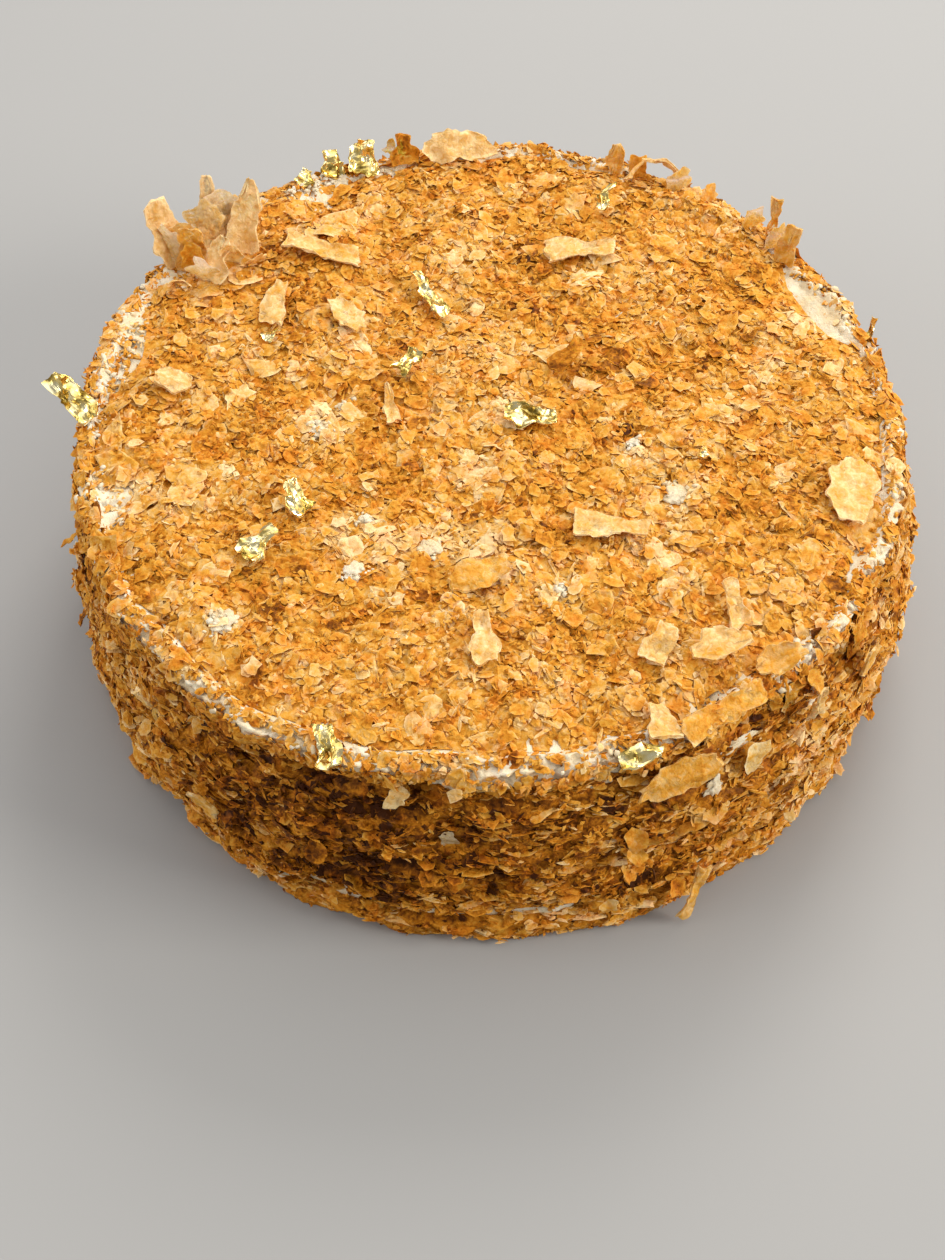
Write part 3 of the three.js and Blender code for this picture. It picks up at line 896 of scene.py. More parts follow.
# %% Patches of cream
CREAM_SPOTS = [
    # x, y and radius in mm
    (47, -23.2, 2.4), (-63.2, -61.5, 2.4), (-14.2, -40.7, 1.8), (-42.7, -1.9, 2.2),
    (-36.6, 6.7, 1.4), (-30.3, -31.3, 1.3), (-32.2, -47.2, 2.0), (7.3, 4.7, 1.1),
    (36.9, -7.7, 1.3), (-2, -48.3, 2.0), (17.1, -52.9, 1.4), (-49.5, 91, 2.4),
    (-44.5, 93.5, 2.2), (-29.5, 98, 1.8),
]
RIM_PATCHES = [
    # azimuth in degrees from the front towards the right and half-width, then how far inside the
    # rim its middle is, or below it where negative, and its half-depth, in mm
    (-124, 4, 0.2, 2.4), (-119, 3, 0.8, 2.2), (-111, 4, 5.0, 3.2), (-105, 5, 6.0, 4.2),
    (-98, 6, 4.6, 3.8), (-91, 6, 4.4, 3.6), (-76, 6, 4.6, 5.2), (-47, 3, -2.5, 1.7),
    (-41, 3, -1.3, 1.6), (-33, 5, -0.4, 1.7), (-26, 5, -0.2, 1.6), (-17, 2, 2.4, 1.9),
    (-11, 2.5, 0, 1.1), (-5, 3, 0, 1.1), (2, 5, -0.7, 2.1), (8, 5, -0.1, 2.0), (14, 4, 0.6, 1.7),
    (23, 4, 0.3, 2.6), (45.5, 4, 1.6, 3.2), (41, 2, -3, 2.2), (48, 3, -3, 2), (55, 3, 0, 1.4),
    (65, 4.5, 0.4, 2.1), (76, 4.5, 0.4, 2.1), (104, 3.5, 1.2, 2.2), (109, 5, 1.8, 2.7),
    (116, 5, 2.0, 2.5), (122, 4, 2.8, 2.5), (-149, 3, 1.2, 2.6), (-154, 4, 2, 3.4), (-163, 3, 2, 3),
    (152, 4, -0.5, 1.4), (171, 5, -0.4, 1.8), (-174, 3, -1.5, 1.4), (-135, 3, -1.2, 1.5),
]
RIM_STEPS = 180
RIM_TOP = 67
BEAD_MIDDLE = 66.4
BAY_REACH = 14
# Places nearer to the rim than this are on the bead's outer face, and not on top.
ON_TOP = 0.8


def rim_solid(azimuth):
    """The radius of the solid's rim round the rim's middle, found by rays at the bead's height."""
    out = Vector(round_axes(azimuth)[0])
    middle = Vector((*RIM_MIDDLE, BEAD_MIDDLE)) * MM
    hit = rays.ray_cast(middle + out * 0.2, -out)[0]
    return (hit - middle).length / MM


rim_radii = np.array([rim_solid(2 * math.pi * k / RIM_STEPS) for k in range(RIM_STEPS)])
print("rim radius", rim_radii.min().round(1), rim_radii.max().round(1))


def rim_distance(x, y):
    """How far inside the rim a place on top is, in mm, and its azimuth in degrees."""
    distance, azimuth = from_rim_middle(x, y)
    step = azimuth % 360 * RIM_STEPS / 360
    radius = np.interp(step, np.arange(RIM_STEPS + 1), np.append(rim_radii, rim_radii[0]))
    return radius - distance, azimuth


def rim_cream(azimuth, inside, place):
    """Whether cream is bare so far inside the rim, or below it where negative."""
    ragged = 1 + 0.55 * hill(place, 4.5, 9.1) + 0.5 * hill(place, 1.8, 8.1)
    for middle, wide, depth, half in RIM_PATCHES:
        away = math.hypot(turn_between(azimuth, middle) / wide, (inside - depth) / half)
        if away < ragged:
            return True
    return False


# %% [markdown]
# ## Crumbs on top
# The crumbs are strewn in turns of scales, grains and splinters, so that each lies on the ones
# before. Where more cream shows through, the crumbs are paler, and a few spots are burnt dark.

# %% Where crumbs lie on top
BURNT_SPOTS = [(-64, -37, 3.4), (58.5, 21.5, 4), (37, -4, 3), (-70, -12, 4)]
STRAY_CRUMBS = {"grain": 0.42, "small": 0.26, "splinter": 0.25}
STRAY_OTHERS = 0.03


def stray(kind, rng, factor=1):
    """Whether a crumb sticks to bare cream, as few do."""
    return rng.random() < STRAY_CRUMBS.get(kind, STRAY_OTHERS) * factor


def crumbs_may_lie(x, y, kind, rng):
    """Whether a crumb may lie at a place on top. More of them stray far inside the rim."""
    size = KINDS[kind][0]["half"][0]
    inside, azimuth = rim_distance(x, y)
    if inside < -0.2:
        return False
    if inside < BAY_REACH and rim_cream(azimuth, inside - 0.2 * size, (x, y, 0)):
        return stray(kind, rng, 0.5 + inside / 3)
    for spot_x, spot_y, radius in CREAM_SPOTS:
        ragged = 1 + 0.6 * hill((x, y, 0), 2.5, 3.9)
        if math.hypot(x - spot_x, y - spot_y) < radius * ragged + 0.3 * size:
            return stray(kind, rng)
    return True


PALE_ZONES = [
    # x, y and radius in mm
    (2, -48, 16), (-40, 2, 12), (-31, -38, 14), (17, -53, 9), (36, -10, 8), (7, 5, 8),
    (-92, -22, 12), (-12, -38, 9), (-62, -60, 8), (50, -24, 8), (88, 40, 13),
]


def top_bake(x, y):
    """How brown the crumbs are at a place on top."""
    bake = 0.45 + 0.18 * hill((x, y, 0), 24, 1.7) + 0.13 * hill((x, y, 0), 9, 2.9)
    for zone_x, zone_y, radius in PALE_ZONES:
        bake -= 0.28 * swell(math.hypot(x - zone_x, y - zone_y), radius)
    for spot_x, spot_y, radius in BURNT_SPOTS:
        bake += 0.34 * swell(math.hypot(x - spot_x, y - spot_y), 1.3 * radius)
    return bake


# %% Strewing the top
TOP_PIECES = {
    "sheet": "flakes_top_broad", "broad": "flakes_top_broad", "medium": "flakes_top",
    "small": "crumbs_top_small", "grain": "grains_top", "splinter": "splinters_top",
    "lump": "lumps_top",
}
TOP_LAYERS = [
    # kind, count, spread of the tilt
    ("medium", 400, 0.05), ("small", 2000, 0.1), ("grain", 3000, 0.3), ("broad", 100, 0.03),
    ("splinter", 900, 0.12), ("medium", 400, 0.06), ("lump", 300, 0.1), ("sheet", 50, 0.03),
    ("small", 2300, 0.12), ("grain", 4000, 0.3), ("broad", 90, 0.04), ("medium", 320, 0.07),
    ("lump", 300, 0.12), ("small", 1500, 0.14), ("splinter", 1200, 0.16), ("grain", 3000, 0.3),
    ("sheet", 70, 0.03), ("broad", 80, 0.04), ("medium", 140, 0.08), ("small", 600, 0.14),
    ("splinter", 500, 0.2), ("grain", 2000, 0.3),
]
CREAM_LEVELS = (64.3, 67.3)
BAY_SINK = 0.35


def bay_lift(row, column):
    """How much higher crumbs start at a cell: in the bays they lie on the cream itself."""
    x, y = cell_middles[row], cell_middles[column]
    inside, degrees = rim_distance(x, y)
    bare = ON_TOP < inside < BAY_REACH and rim_cream(degrees, inside, (x, y, 0))
    return TOP_DROP - BAY_SINK if bare else 0


cell_middles = -TOP_HALF + (np.arange(len(top_solid)) + 0.5) * CELL
top_start = top_solid - TOP_DROP + [[mound(x, y) for y in cell_middles] for x in cell_middles]
for row, column in np.argwhere((top_solid > CREAM_LEVELS[0]) & (top_solid < CREAM_LEVELS[1])):
    top_start[row, column] += bay_lift(row, column)
top_bed = Bed((-TOP_HALF, -TOP_HALF), top_start, (CELL, CELL), top_frame, False)


def flake_tone(rng, kind):
    """How much paler or darker than its neighbours one scale is."""
    draw = rng.random()
    pale = 0.5 if kind in ("broad", "sheet") else 0.13
    if draw < pale:
        return rng.uniform(-0.3, -0.1)
    if draw < 0.93:
        return rng.normal(0, 0.06)
    return rng.uniform(0.12, 0.28)


CURDS_PER_MM = 6
BAY_CURDS = 1200
BAY_BAND = (94, 106)
CURD_TURNS = (8, 15)
# Painted shade: the crumbs of the early turns lie deep in the gaps, and are drawn browner.
DEEP_PAINTED_SHADE = 0.06


def strew_curds(rng):
    """Lumps of cream round each spot and in the bays, thrown between two turns of crumbs."""
    for x, y, radius in CREAM_SPOTS:
        for _ in range(int(CURDS_PER_MM * radius)):
            spot = np.array([x, y]) + rng.normal(0, 0.75 * radius, 2)
            tilt = rng.normal(0, 0.2, 2)
            heading = rng.uniform(0, math.pi)
            lay(top_bed, "cream_curds", "curd", *spot, heading, tilt, rng, 0, 1.1, 0.75)
    for _ in range(BAY_CURDS):
        azimuth = rng.uniform(0, 2 * math.pi)
        reach = BAY_BAND[1] - rng.uniform(0, BAY_BAND[1] - BAY_BAND[0])
        x = RIM_MIDDLE[0] + reach * math.sin(azimuth)
        y = RIM_MIDDLE[1] - reach * math.cos(azimuth)
        inside, degrees = rim_distance(x, y)
        if inside > 1 and rim_cream(degrees, inside + 0.3, (x, y, 0)):
            tilt = rng.normal(0, 0.2, 2)
            grow = rng.uniform(0.4, 0.9)
            lay(top_bed, "cream_curds", "curd", x, y, azimuth, tilt, rng, 0, 1.3, grow)


def strew_top():
    rng = np.random.default_rng(21)
    for turn, (kind, count, spread) in enumerate(TOP_LAYERS):
        laid = 0
        if turn in CURD_TURNS:
            strew_curds(rng)
        while laid < count:
            x, y = rng.uniform(-TOP_HALF, TOP_HALF, 2)
            if not crumbs_may_lie(x, y, kind, rng):
                continue
            heading = rng.uniform(0, 2 * math.pi)
            tilt = rng.normal(0, spread, 2)
            deep = 1 - turn / len(TOP_LAYERS)
            bake = top_bake(x, y) + flake_tone(rng, kind) + DEEP_PAINTED_SHADE * deep
            sink, grow = rng.uniform(0.95, 1.6), rng.uniform(0.8, 1.15)
            lay(top_bed, TOP_PIECES[kind], kind, x, y, heading, tilt, rng, bake, sink, grow)
            laid += 1


strew_top()
rise = (top_bed.heights - top_solid)[top_solid > CREAM_LEVELS[1]]
print("top heap over the solid: mean", rise.mean().round(2), "spread", rise.std().round(2))

# %% Dabs of cream
def cream_dabs():
    """Low lumps of cream in the bare spots, up to the height of the crumbs round them."""
    bm = bmesh.new()
    for k, (x, y, radius) in enumerate(CREAM_SPOTS):
        level = top_solid[top_bed.cell(x, y)] - TOP_DROP
        made = bmesh.ops.create_icosphere(bm, subdivisions=4, radius=1)
        for vert in made["verts"]:
            ragged = 1 + 0.45 * hill(vert.co * 3, 2.2, k + 0.3)
            ragged += 0.3 * hill(vert.co * 3, 0.9, k + 5.3)
            wide = 1.4 * radius * ragged
            tall = 1.2 * vert.co.z * (1 + 0.35 * hill(vert.co * 3, 0.6, k + 2.2))
            vert.co = Vector((x + vert.co.x * wide, y + vert.co.y * wide, level + tall)) * MM
    smoothed(bm)
    add_piece("cream_dabs", bm, cream_material, "cream")


cream_dabs()

# %% [markdown]
# ## Crumbs on the side
# The side is pressed with crumbs and flakes. Many lie level, as the edges of the thin sheets that
# the pastry is made of, and stick out a little, so that light from above catches them and leaves
# a dark gap below. The others lie against the wall between the sheets.

# %% Where crumbs lie on the side
CREAM_STREAKS = [
    # azimuth, height, half-length in mm, half-height in mm
    (32, 55, 5, 1.8), (9, 13, 7, 1.8), (-31, 12, 6, 1.8), (14, 58, 4, 1.2), (-41, 60, 3, 2.2),
    (-48, 36, 4, 1.3), (100, 44, 4, 1.3), (150, 30, 5, 1.4), (-120, 50, 5, 1.5), (-160, 22, 5, 1.4),
    (-95, 14, 5, 1.4), (46, 50, 2.2, 4), (29, 43, 2.2, 4),
]


def side_start():
    """The heights of the bare core of the side."""
    heights = side_solid - SIDE_DROP
    for i in range(heights.shape[0]):
        u = (i + 0.5) / heights.shape[0] * SIDE_ROUND
        for j in range(heights.shape[1]):
            v = (j + 0.5) * CELL
            heights[i, j] += ledge(u, v) - min(hollow(u, v), DEEPEST)
    return heights


side_bed = Bed((0, 0), side_start(), (SIDE_ROUND / side_solid.shape[0], CELL), side_frame, True)


def cream_smears():
    """Streaks of cream that show between the crumbs of the side."""
    bm = bmesh.new()
    for k, (azimuth, z, long, tall) in enumerate(CREAM_STREAKS):
        u = azimuth / 360 * SIDE_ROUND % SIDE_ROUND
        level = side_bed.height_at(u, z) - 1.0
        made = bmesh.ops.create_icosphere(bm, subdivisions=4, radius=1)
        for vert in made["verts"]:
            ragged = 1 + 0.5 * hill(vert.co * 3, 1.6, k + 0.7)
            ragged += 0.35 * hill(vert.co * 3, 0.7, k + 4.1)
            across, up = vert.co.x * long * 1.3 * ragged, vert.co.y * tall * 1.4 * ragged
            out = level + 1.1 * vert.co.z * ragged - across * across / (2 * level)
            point, directions = side_frame(u, z + up, out)
            vert.co = Vector(point + directions[:, 0] * across) * MM
    bmesh.ops.recalc_face_normals(bm, faces=bm.faces)
    smoothed(bm)
    add_piece("cream_smears", bm, cream_material, "cream")


cream_smears()


DEEP_HOLLOW = 1.4
DEEP_SHARE = 0.4
STREAK_STRAY = 1.9


def side_may_hold(u, v, kind, rng):
    """Whether a crumb may stick at a place on the side. Few do on cream or deep in a hollow."""
    size = KINDS[kind][0]["half"][0]
    azimuth = turn_between(degrees_round(u), 0)
    if v > RIM_TOP - 6 and rim_cream(azimuth, v - RIM_TOP, (u, 0, v)):
        return stray(kind, rng)
    for spot, z, long, tall in CREAM_STREAKS:
        across = turn_between(azimuth, spot) / 360 * SIDE_ROUND
        ragged = 1 + 0.5 * hill((u, 0, v), 4, 7.1)
        if math.hypot(across / long, (v - z) / (tall + 0.2 * size)) < ragged:
            return stray(kind, rng, STREAK_STRAY)
    return hollow(u, v) < DEEP_HOLLOW or rng.random() < DEEP_SHARE


# Painted shade and painted light, partly the crumbs' own tone: the front of the side, which faces
# away from the lamps, and spots under overhangs are drawn browner, and lit spots paler.
SIDE_SHADE_AND_LIGHT_ZONES = [
    # azimuth, height, half-length in degrees, half-height in mm, how much browner or paler
    (-18, 36, 30, 40, 0.3), (-20, 57, 8, 7, 0.12), (-13, 34, 10, 6, 0.1), (0, 29, 8, 5, 0.14),
    (-19, 20, 9, 8, 0.12), (-8, 9, 8, 3, 0.16), (-51, 41, 5, 7, 0.2), (-47, 6, 5, 8, 0.26),
    (-61, 18, 5, 8, 0.14), (23, 51, 6, 6, 0.24), (42, 55, 4, 8, 0.05), (41.5, 28, 4, 5, 0.16),
    (19, 20, 5, 7, 0.14), (7, 11, 9, 6, -0.26), (-38, 4, 10, 5, -0.1), (46, 24, 26, 40, -0.24),
    (-57, 34, 26, 45, -0.14), (70, 36, 26, 50, -0.14),
]


FOOT_TALL = 8
FOOT_PALER = 0.06


def side_bake_shade_and_light(u, v):
    """How brown the crumbs are at a place on the side. They are drawn browner than on top, partly
    as painted shade, and browner in the hollows as painted shade; the zones add painted shade and
    painted light.
    """
    azimuth = turn_between(degrees_round(u), 0)
    bake = 0.57 + 0.2 * hill((u, 0, v), 16, 4.4) + 0.13 * hill((u / 4, 0, v), 2.2, 5.5)
    # Painted shade: browner in the hollows.
    bake += 0.12 * min(hollow(u, v), 2.5)
    for middle, z, wide, tall, shift in SIDE_SHADE_AND_LIGHT_ZONES:
        bake += shift * swell(math.hypot(turn_between(azimuth, middle) / wide, (v - z) / tall), 1)
    return bake - (FOOT_PALER if v < FOOT_TALL else 0)


# %% Pressing crumbs to the side
SIDE_PIECES = {
    "broad": "flakes_side_broad", "medium": "flakes_side", "small": "crumbs_side_small",
    "grain": "grains_side", "splinter": "splinters_side",
}
SIDE_LAYERS = [
    # kind, count, mean slope up the wall, spread of the tilt
    ("medium", 300, -0.1, 0.1), ("small", 1700, -0.15, 0.15), ("grain", 4000, 0, 0.3),
    ("broad", 50, -0.1, 0.1), ("splinter", 1700, -0.1, 0.15), ("medium", 150, -0.2, 0.15),
    ("small", 1400, -0.2, 0.2), ("grain", 4000, 0, 0.3), ("broad", 30, -0.2, 0.12),
    ("small", 500, -0.25, 0.25), ("splinter", 1500, -0.2, 0.25), ("grain", 3500, 0, 0.35),
]


SIDE_SPAN = (0.6, 67.2)
LEVEL_SHARE = 0.8
SIDE_CONTRAST = 1.2
# Painted shade: the crumbs laid first lie deepest against the wall and are drawn browner, less so
# with each later turn.
SIDE_SHADE = 0.26
SHADE_STEP = 0.018


def strew_side():
    rng = np.random.default_rng(22)
    for turn, (kind, count, shingle, spread) in enumerate(SIDE_LAYERS):
        shade = SIDE_SHADE - SHADE_STEP * turn
        laid = 0
        while laid < count:
            u, v = rng.uniform(0, SIDE_ROUND), rng.uniform(*SIDE_SPAN)
            if not side_may_hold(u, v, kind, rng):
                continue
            runs_level = rng.random() < LEVEL_SHARE
            heading = rng.normal(0, 0.3) if runs_level else rng.uniform(0, math.pi)
            tilt = rng.normal(0, spread, 2)
            tilt[0] += shingle * math.sin(heading)
            tilt[1] += shingle * math.cos(heading)
            bake = side_bake_shade_and_light(u, v) + shade + SIDE_CONTRAST * flake_tone(rng, kind)
            grow = rng.uniform(0.85, 1.15) * (0.75 if v < 6 else 1)
            lay(side_bed, SIDE_PIECES[kind], kind, u, v, heading, tilt, rng, bake, grow=grow)
            laid += 1


strew_side()
rise = side_bed.heights[:, 4:80] - side_solid[:, 4:80]
print("side heap over the solid: mean", rise.mean().round(2), "spread", rise.std().round(2))

# %% Level sheets that stick out of the side
FRINGES = [
    # kind, piece, count, how far the scales are sunk, as shares of their width
    ("lump", "lumps_side", 1100, (0.3, 1.0)),
    ("strip", "flakes_side_fringe", 1400, (0.2, 0.9)),
    ("small", "flakes_side_fringe", 2000, (0.1, 0.9)),
    ("splinter", "splinters_side", 4500, (0.0, 1.5)),
]


FRINGE_SPAN = (1.5, 65.5)
FRINGE_ROWS = int(66 / SHEET_TALL)


def fringe():
    """Level scales in rows: each row is one thin sheet of pastry, seen at its broken edge."""
    rng = np.random.default_rng(23)
    for kind, piece, count, sunk in FRINGES:
        laid = 0
        while laid < count:
            u = rng.uniform(0, SIDE_ROUND)
            row = rng.integers(1, FRINGE_ROWS)
            v = (row + rng.normal(0, 0.2)) * SHEET_TALL - sway(u, row * SHEET_TALL)
            if not FRINGE_SPAN[0] < v < FRINGE_SPAN[1] or not side_may_hold(u, v, kind, rng):
                continue
            number = int(rng.integers(len(KINDS[kind])))
            grow = rng.uniform(0.7, 1.15)
            width = KINDS[kind][number]["half"][1] * grow
            level = side_bed.height_at(u, v)
            point, directions = side_frame(u, v, level - width * rng.uniform(*sunk))
            droop = rng.normal(0.08, 0.24)
            heading = Matrix.Rotation(rng.normal(0, 0.28), 3, "Y")
            local = heading @ Matrix.Rotation(math.pi / 2 + droop, 3, "X")
            turn = directions @ np.array(local) * grow
            # Painted light: the level sheets are drawn a little paler, as light from above falls on
            # their faces.
            bake = side_bake_shade_and_light(u, v) - 0.06 + SIDE_CONTRAST * flake_tone(rng, kind)
            drop(piece, kind, number, point, turn, bake)
            laid += 1


fringe()

# %% [markdown]
# ## Crumbs on the rim
# Rays towards the bead of cream from outside find its surface and the way that it faces, and
# crumbs are pressed flat to it there. They hide the sharp corner between the top and the side.

# %% Pressing crumbs to the rim
RIM_LAYERS = [("curd", 160), ("medium", 420), ("small", 1500), ("splinter", 500), ("grain", 2600)]
CURDS_OUTSIDE = 0.03
RIM_STRAY = 0.6
BEAD_INSIDE = 3.0
BEAD_HEIGHT = 63.5


def press_on_rim():
    rng = np.random.default_rng(24)
    for kind, count in RIM_LAYERS:
        laid = 0
        while laid < count:
            azimuth = rng.uniform(0, 2 * math.pi)
            lift = rng.uniform(-0.2, 1.75)
            radius = rim_radii[int(azimuth / (2 * math.pi) * RIM_STEPS)] - BEAD_INSIDE
            out = Vector(round_axes(azimuth)[0])
            middle = Vector((*RIM_MIDDLE, BEAD_HEIGHT)) + out * radius
            aim = out * math.cos(lift) + Vector((0, 0, math.sin(lift)))
            hit, normal = rays.ray_cast((middle + aim * 20) * MM, -aim)[:2]
            if not hit:
                continue
            place = hit / MM
            inside, degrees = rim_distance(place.x, place.y)
            depth = inside if inside > ON_TOP else place.z - RIM_TOP
            cream = rim_cream(degrees, depth, place)
            if kind == "curd":
                laid += 1
                if not cream and rng.random() > CURDS_OUTSIDE:
                    continue
            elif cream and not stray(kind, rng, RIM_STRAY):
                continue
            number = int(rng.integers(len(KINDS[kind])))
            grow = rng.uniform(0.8, 1.1)
            face = (normal + Vector(rng.normal(0, 0.22, 3))).normalized()
            along = Vector(rng.normal(0, 1, 3)).cross(face).normalized()
            turn = np.array(Matrix((along, face.cross(along), face)).transposed()) * grow
            bake = top_bake(place.x, place.y) + 0.04 * (1 - math.sin(lift)) + flake_tone(rng, kind)
            point = np.array(place + face * rng.uniform(-0.1, 0.5))
            drop("cream_curds" if kind == "curd" else "crumbs_rim", kind, number, point, turn, bake)
            laid += kind != "curd"


press_on_rim()

# %% [markdown]
# ## Joining the crumbs
# Blender handles a few big meshes far better than thousands of small ones, so all scales of one
# kind are joined into one mesh. The points of every copy are turned and moved together as arrays.

# %% Joined pieces
def joined_arrays(name):
    """The points, corners, face sizes, bakes and edge values of all the copies in a piece."""
    parts = []
    start = 0
    for key in sorted(key for key in laid_copies if key[0] == name):
        shape = KINDS[key[1]][key[2]]
        places, turns, bakes = (np.array(values) for values in zip(*laid_copies[key]))
        copies, count = len(places), len(shape["points"])
        moved = np.einsum("kij,nj->kni", turns, shape["points"]) + places[:, None, :]
        first = start + np.arange(copies) * count
        parts.append((
            moved.reshape(-1, 3),
            (shape["corners"][None, :] + first[:, None]).ravel(),
            np.tile(shape["sizes"], copies),
            np.repeat(bakes, count),
            np.tile(shape["edge"], copies),
        ))
        start += count * copies
    return [np.concatenate(arrays) for arrays in zip(*parts)]


def join_pieces():
    for name in sorted({key[0] for key in laid_copies}):
        points, corners, sizes, bakes, edges = joined_arrays(name)
        cream = name.startswith("cream")
        data = bpy.data.meshes.new(name)
        data.vertices.add(len(points))
        data.vertices.foreach_set("co", (points * MM).astype(np.float32).ravel())
        data.loops.add(len(corners))
        data.loops.foreach_set("vertex_index", corners.astype(np.int32))
        data.polygons.add(len(sizes))
        starts = np.concatenate([[0], np.cumsum(sizes)[:-1]])
        data.polygons.foreach_set("loop_start", starts.astype(np.int32))
        data.polygons.foreach_set("use_smooth", np.full(len(sizes), cream))
        data.update(calc_edges=True)
        material, slot = (cream_material, "cream") if cream else (crumb_material, "crumb")
        show_piece(name, data, material, {"bake": bakes, "edge": edges})


join_pieces()

# %% [markdown]
# ## Shards and gold leaf
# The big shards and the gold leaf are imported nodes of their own. Each is copied, cut finer, and
# roughened: a shard gets blisters and a ragged edge, and the leaf gets sharp creases.

# %% Shards
SHARD_BAKE = {"flake_pale": 0.2, "flake_golden": 0.38, "flake_brown": 0.66}
# Painted shade: shards low on the side are drawn browner. Painted light: pale standing shards are
# drawn paler.
SIDE_SHARD_PAINTED_SHADE = 0.14
STANDING_SHARD_PAINTED_LIGHT = -0.08
SIDE_SHARDS_BELOW = 50
STANDING_SHARDS_ABOVE = 76
SHARD_THINNING = 0.29
SHARD_GROWTH = {
    "flake_01": 1.8, "flake_02": 1.4, "flake_03": 1.3, "flake_04": 0.5, "flake_05": 1.2,
    "flake_11": 1,
}
USUAL_GROWTH = 0.3
RIM_REACH = 3.0
# Angles between faces in radians, of a plate's rim and of an edge that is drawn sharp.
RIM_ANGLE = 0.9
SHARP_ANGLE = 0.8


def rim_values(bm, reach):
    """1 at the sharp rim of a plate, falling to 0 at `reach` mm from it."""
    rim = [v for v in bm.verts if any(e.calc_face_angle(0) > RIM_ANGLE for e in v.link_edges)]
    tree = KDTree(len(rim))
    for k, vert in enumerate(rim):
        tree.insert(vert.co, k)
    tree.balance()
    return [max(0.0, 1 - tree.find(v.co)[2] / MM / reach) for v in bm.verts]


def flat_axis(bm):
    """The direction in which a plate is thinnest."""
    points = np.array([v.co for v in bm.verts])
    axes = np.linalg.svd(points - points.mean(0), full_matrices=False)[2]
    return Vector(axes[2])


def roughened(bm, edge, seed, thinning):
    """Waves, blisters and a torn edge for a plate. `edge` is how near each point is to its rim."""
    face_on = flat_axis(bm)
    middle = sum((v.co for v in bm.verts), Vector()) / len(bm.verts)
    thinned = [v.co - v.normal * thinning * MM for v in bm.verts]
    for vert, near, thin in zip(bm.verts, edge, thinned):
        place = vert.co / MM
        wave = 1.1 * hill(place, 9, seed) + 0.8 * hill(place, 3.6, seed + 1)
        wave += 0.3 * hill(place, 1.5, seed + 3)
        torn = 1.6 * hill(place, 5.5, seed + 8) + 1.1 * hill(place, 2.1, seed + 9) - 0.3
        outward = vert.co - middle
        outward -= face_on * outward.dot(face_on)
        vert.co = thin + (face_on * wave + outward.normalized() * torn * near) * MM
    smoothed(bm)
    bm.normal_update()
    for line in bm.edges:
        line.smooth = line.calc_face_angle(0) < SHARP_ANGLE


def broadened(bm, grow):
    """Pushes the rim of a plate outwards, square to the rim, so that thin tips become round."""
    face_on = flat_axis(bm)
    for vert in bm.verts:
        outward = vert.normal - face_on * vert.normal.dot(face_on)
        if outward.length > 0.35:
            vert.co += outward.normalized() * grow * MM
    bm.normal_update()


def patchy(bm, edge, bake, seed):
    """Bake values round a middle one, a little browner at the rim."""
    return [bake + 0.12 * hill(v.co / MM, 6, seed) + 0.05 * near for v, near in zip(bm.verts, edge)]


def name_seed(name):
    return 1.0 + int(name.split("_")[-1]) * 0.731


def refined_shard(name, slot):
    """A packed shard, with a broader and torn rim and thinner faces. Its slot sets its bake."""
    bm = finer_skin(name, 5)
    broadened(bm, SHARD_GROWTH.get(name, USUAL_GROWTH))
    edge = rim_values(bm, RIM_REACH)
    seed = name_seed(name)
    roughened(bm, edge, seed, SHARD_THINNING)
    heights = [v.co.z for v in bm.verts]
    bake = SHARD_BAKE[slot]
    # Painted shade for the shards on the side, painted light for the pale standing ones.
    if min(heights) < SIDE_SHARDS_BELOW * MM:
        bake += SIDE_SHARD_PAINTED_SHADE
    if max(heights) > STANDING_SHARDS_ABOVE * MM and slot == "flake_pale":
        bake += STANDING_SHARD_PAINTED_LIGHT
    bakes = patchy(bm, edge, bake, seed)
    add_piece(name + "_shard", bm, shard_material, slot, [name], bake=bakes, edge=edge)


TONES = {"flake_brown": (7, 25, 32), "flake_golden": (2, 8, 10, 11, 23, 27, 28, 29)}
for name in sorted(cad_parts):
    if name.startswith("flake_"):
        slots = [slot for slot, numbers in TONES.items() if int(name.split("_")[1]) in numbers]
        refined_shard(name, slots[0] if slots else "flake_pale")

# %% Crumpled leaves
FOLD_SEED = 7
noise.seed_set(FOLD_SEED)


def refined_leaf(name):
    """A leaf with wide folds and small creases, which stay sharp because its faces are flat."""
    bm = finer_skin(name, 5)
    seed = name_seed(name)
    shift = Vector((seed, seed, seed))
    for vert in bm.verts:
        place = vert.co / MM
        folds = 1.6 * noise.noise_vector(place / 4.4 + shift)
        folds += 0.5 * noise.noise_vector(place / 1.5 + shift)
        vert.co += (folds - vert.normal * 0.12) * MM
    for face in bm.faces:
        face.smooth = False
    add_piece(name + "_leaf", bm, gold_material, "gold_leaf", [name])


for name in sorted(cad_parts):
    if name.startswith("gold_leaf_"):
        refined_leaf(name)

# %% [markdown]
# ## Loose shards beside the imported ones
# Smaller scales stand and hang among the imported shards, and turn each row of plates into a
# broken, leafy cluster. Each is a grid cut to a random polygon, bent, thickened, and torn like
# the others.

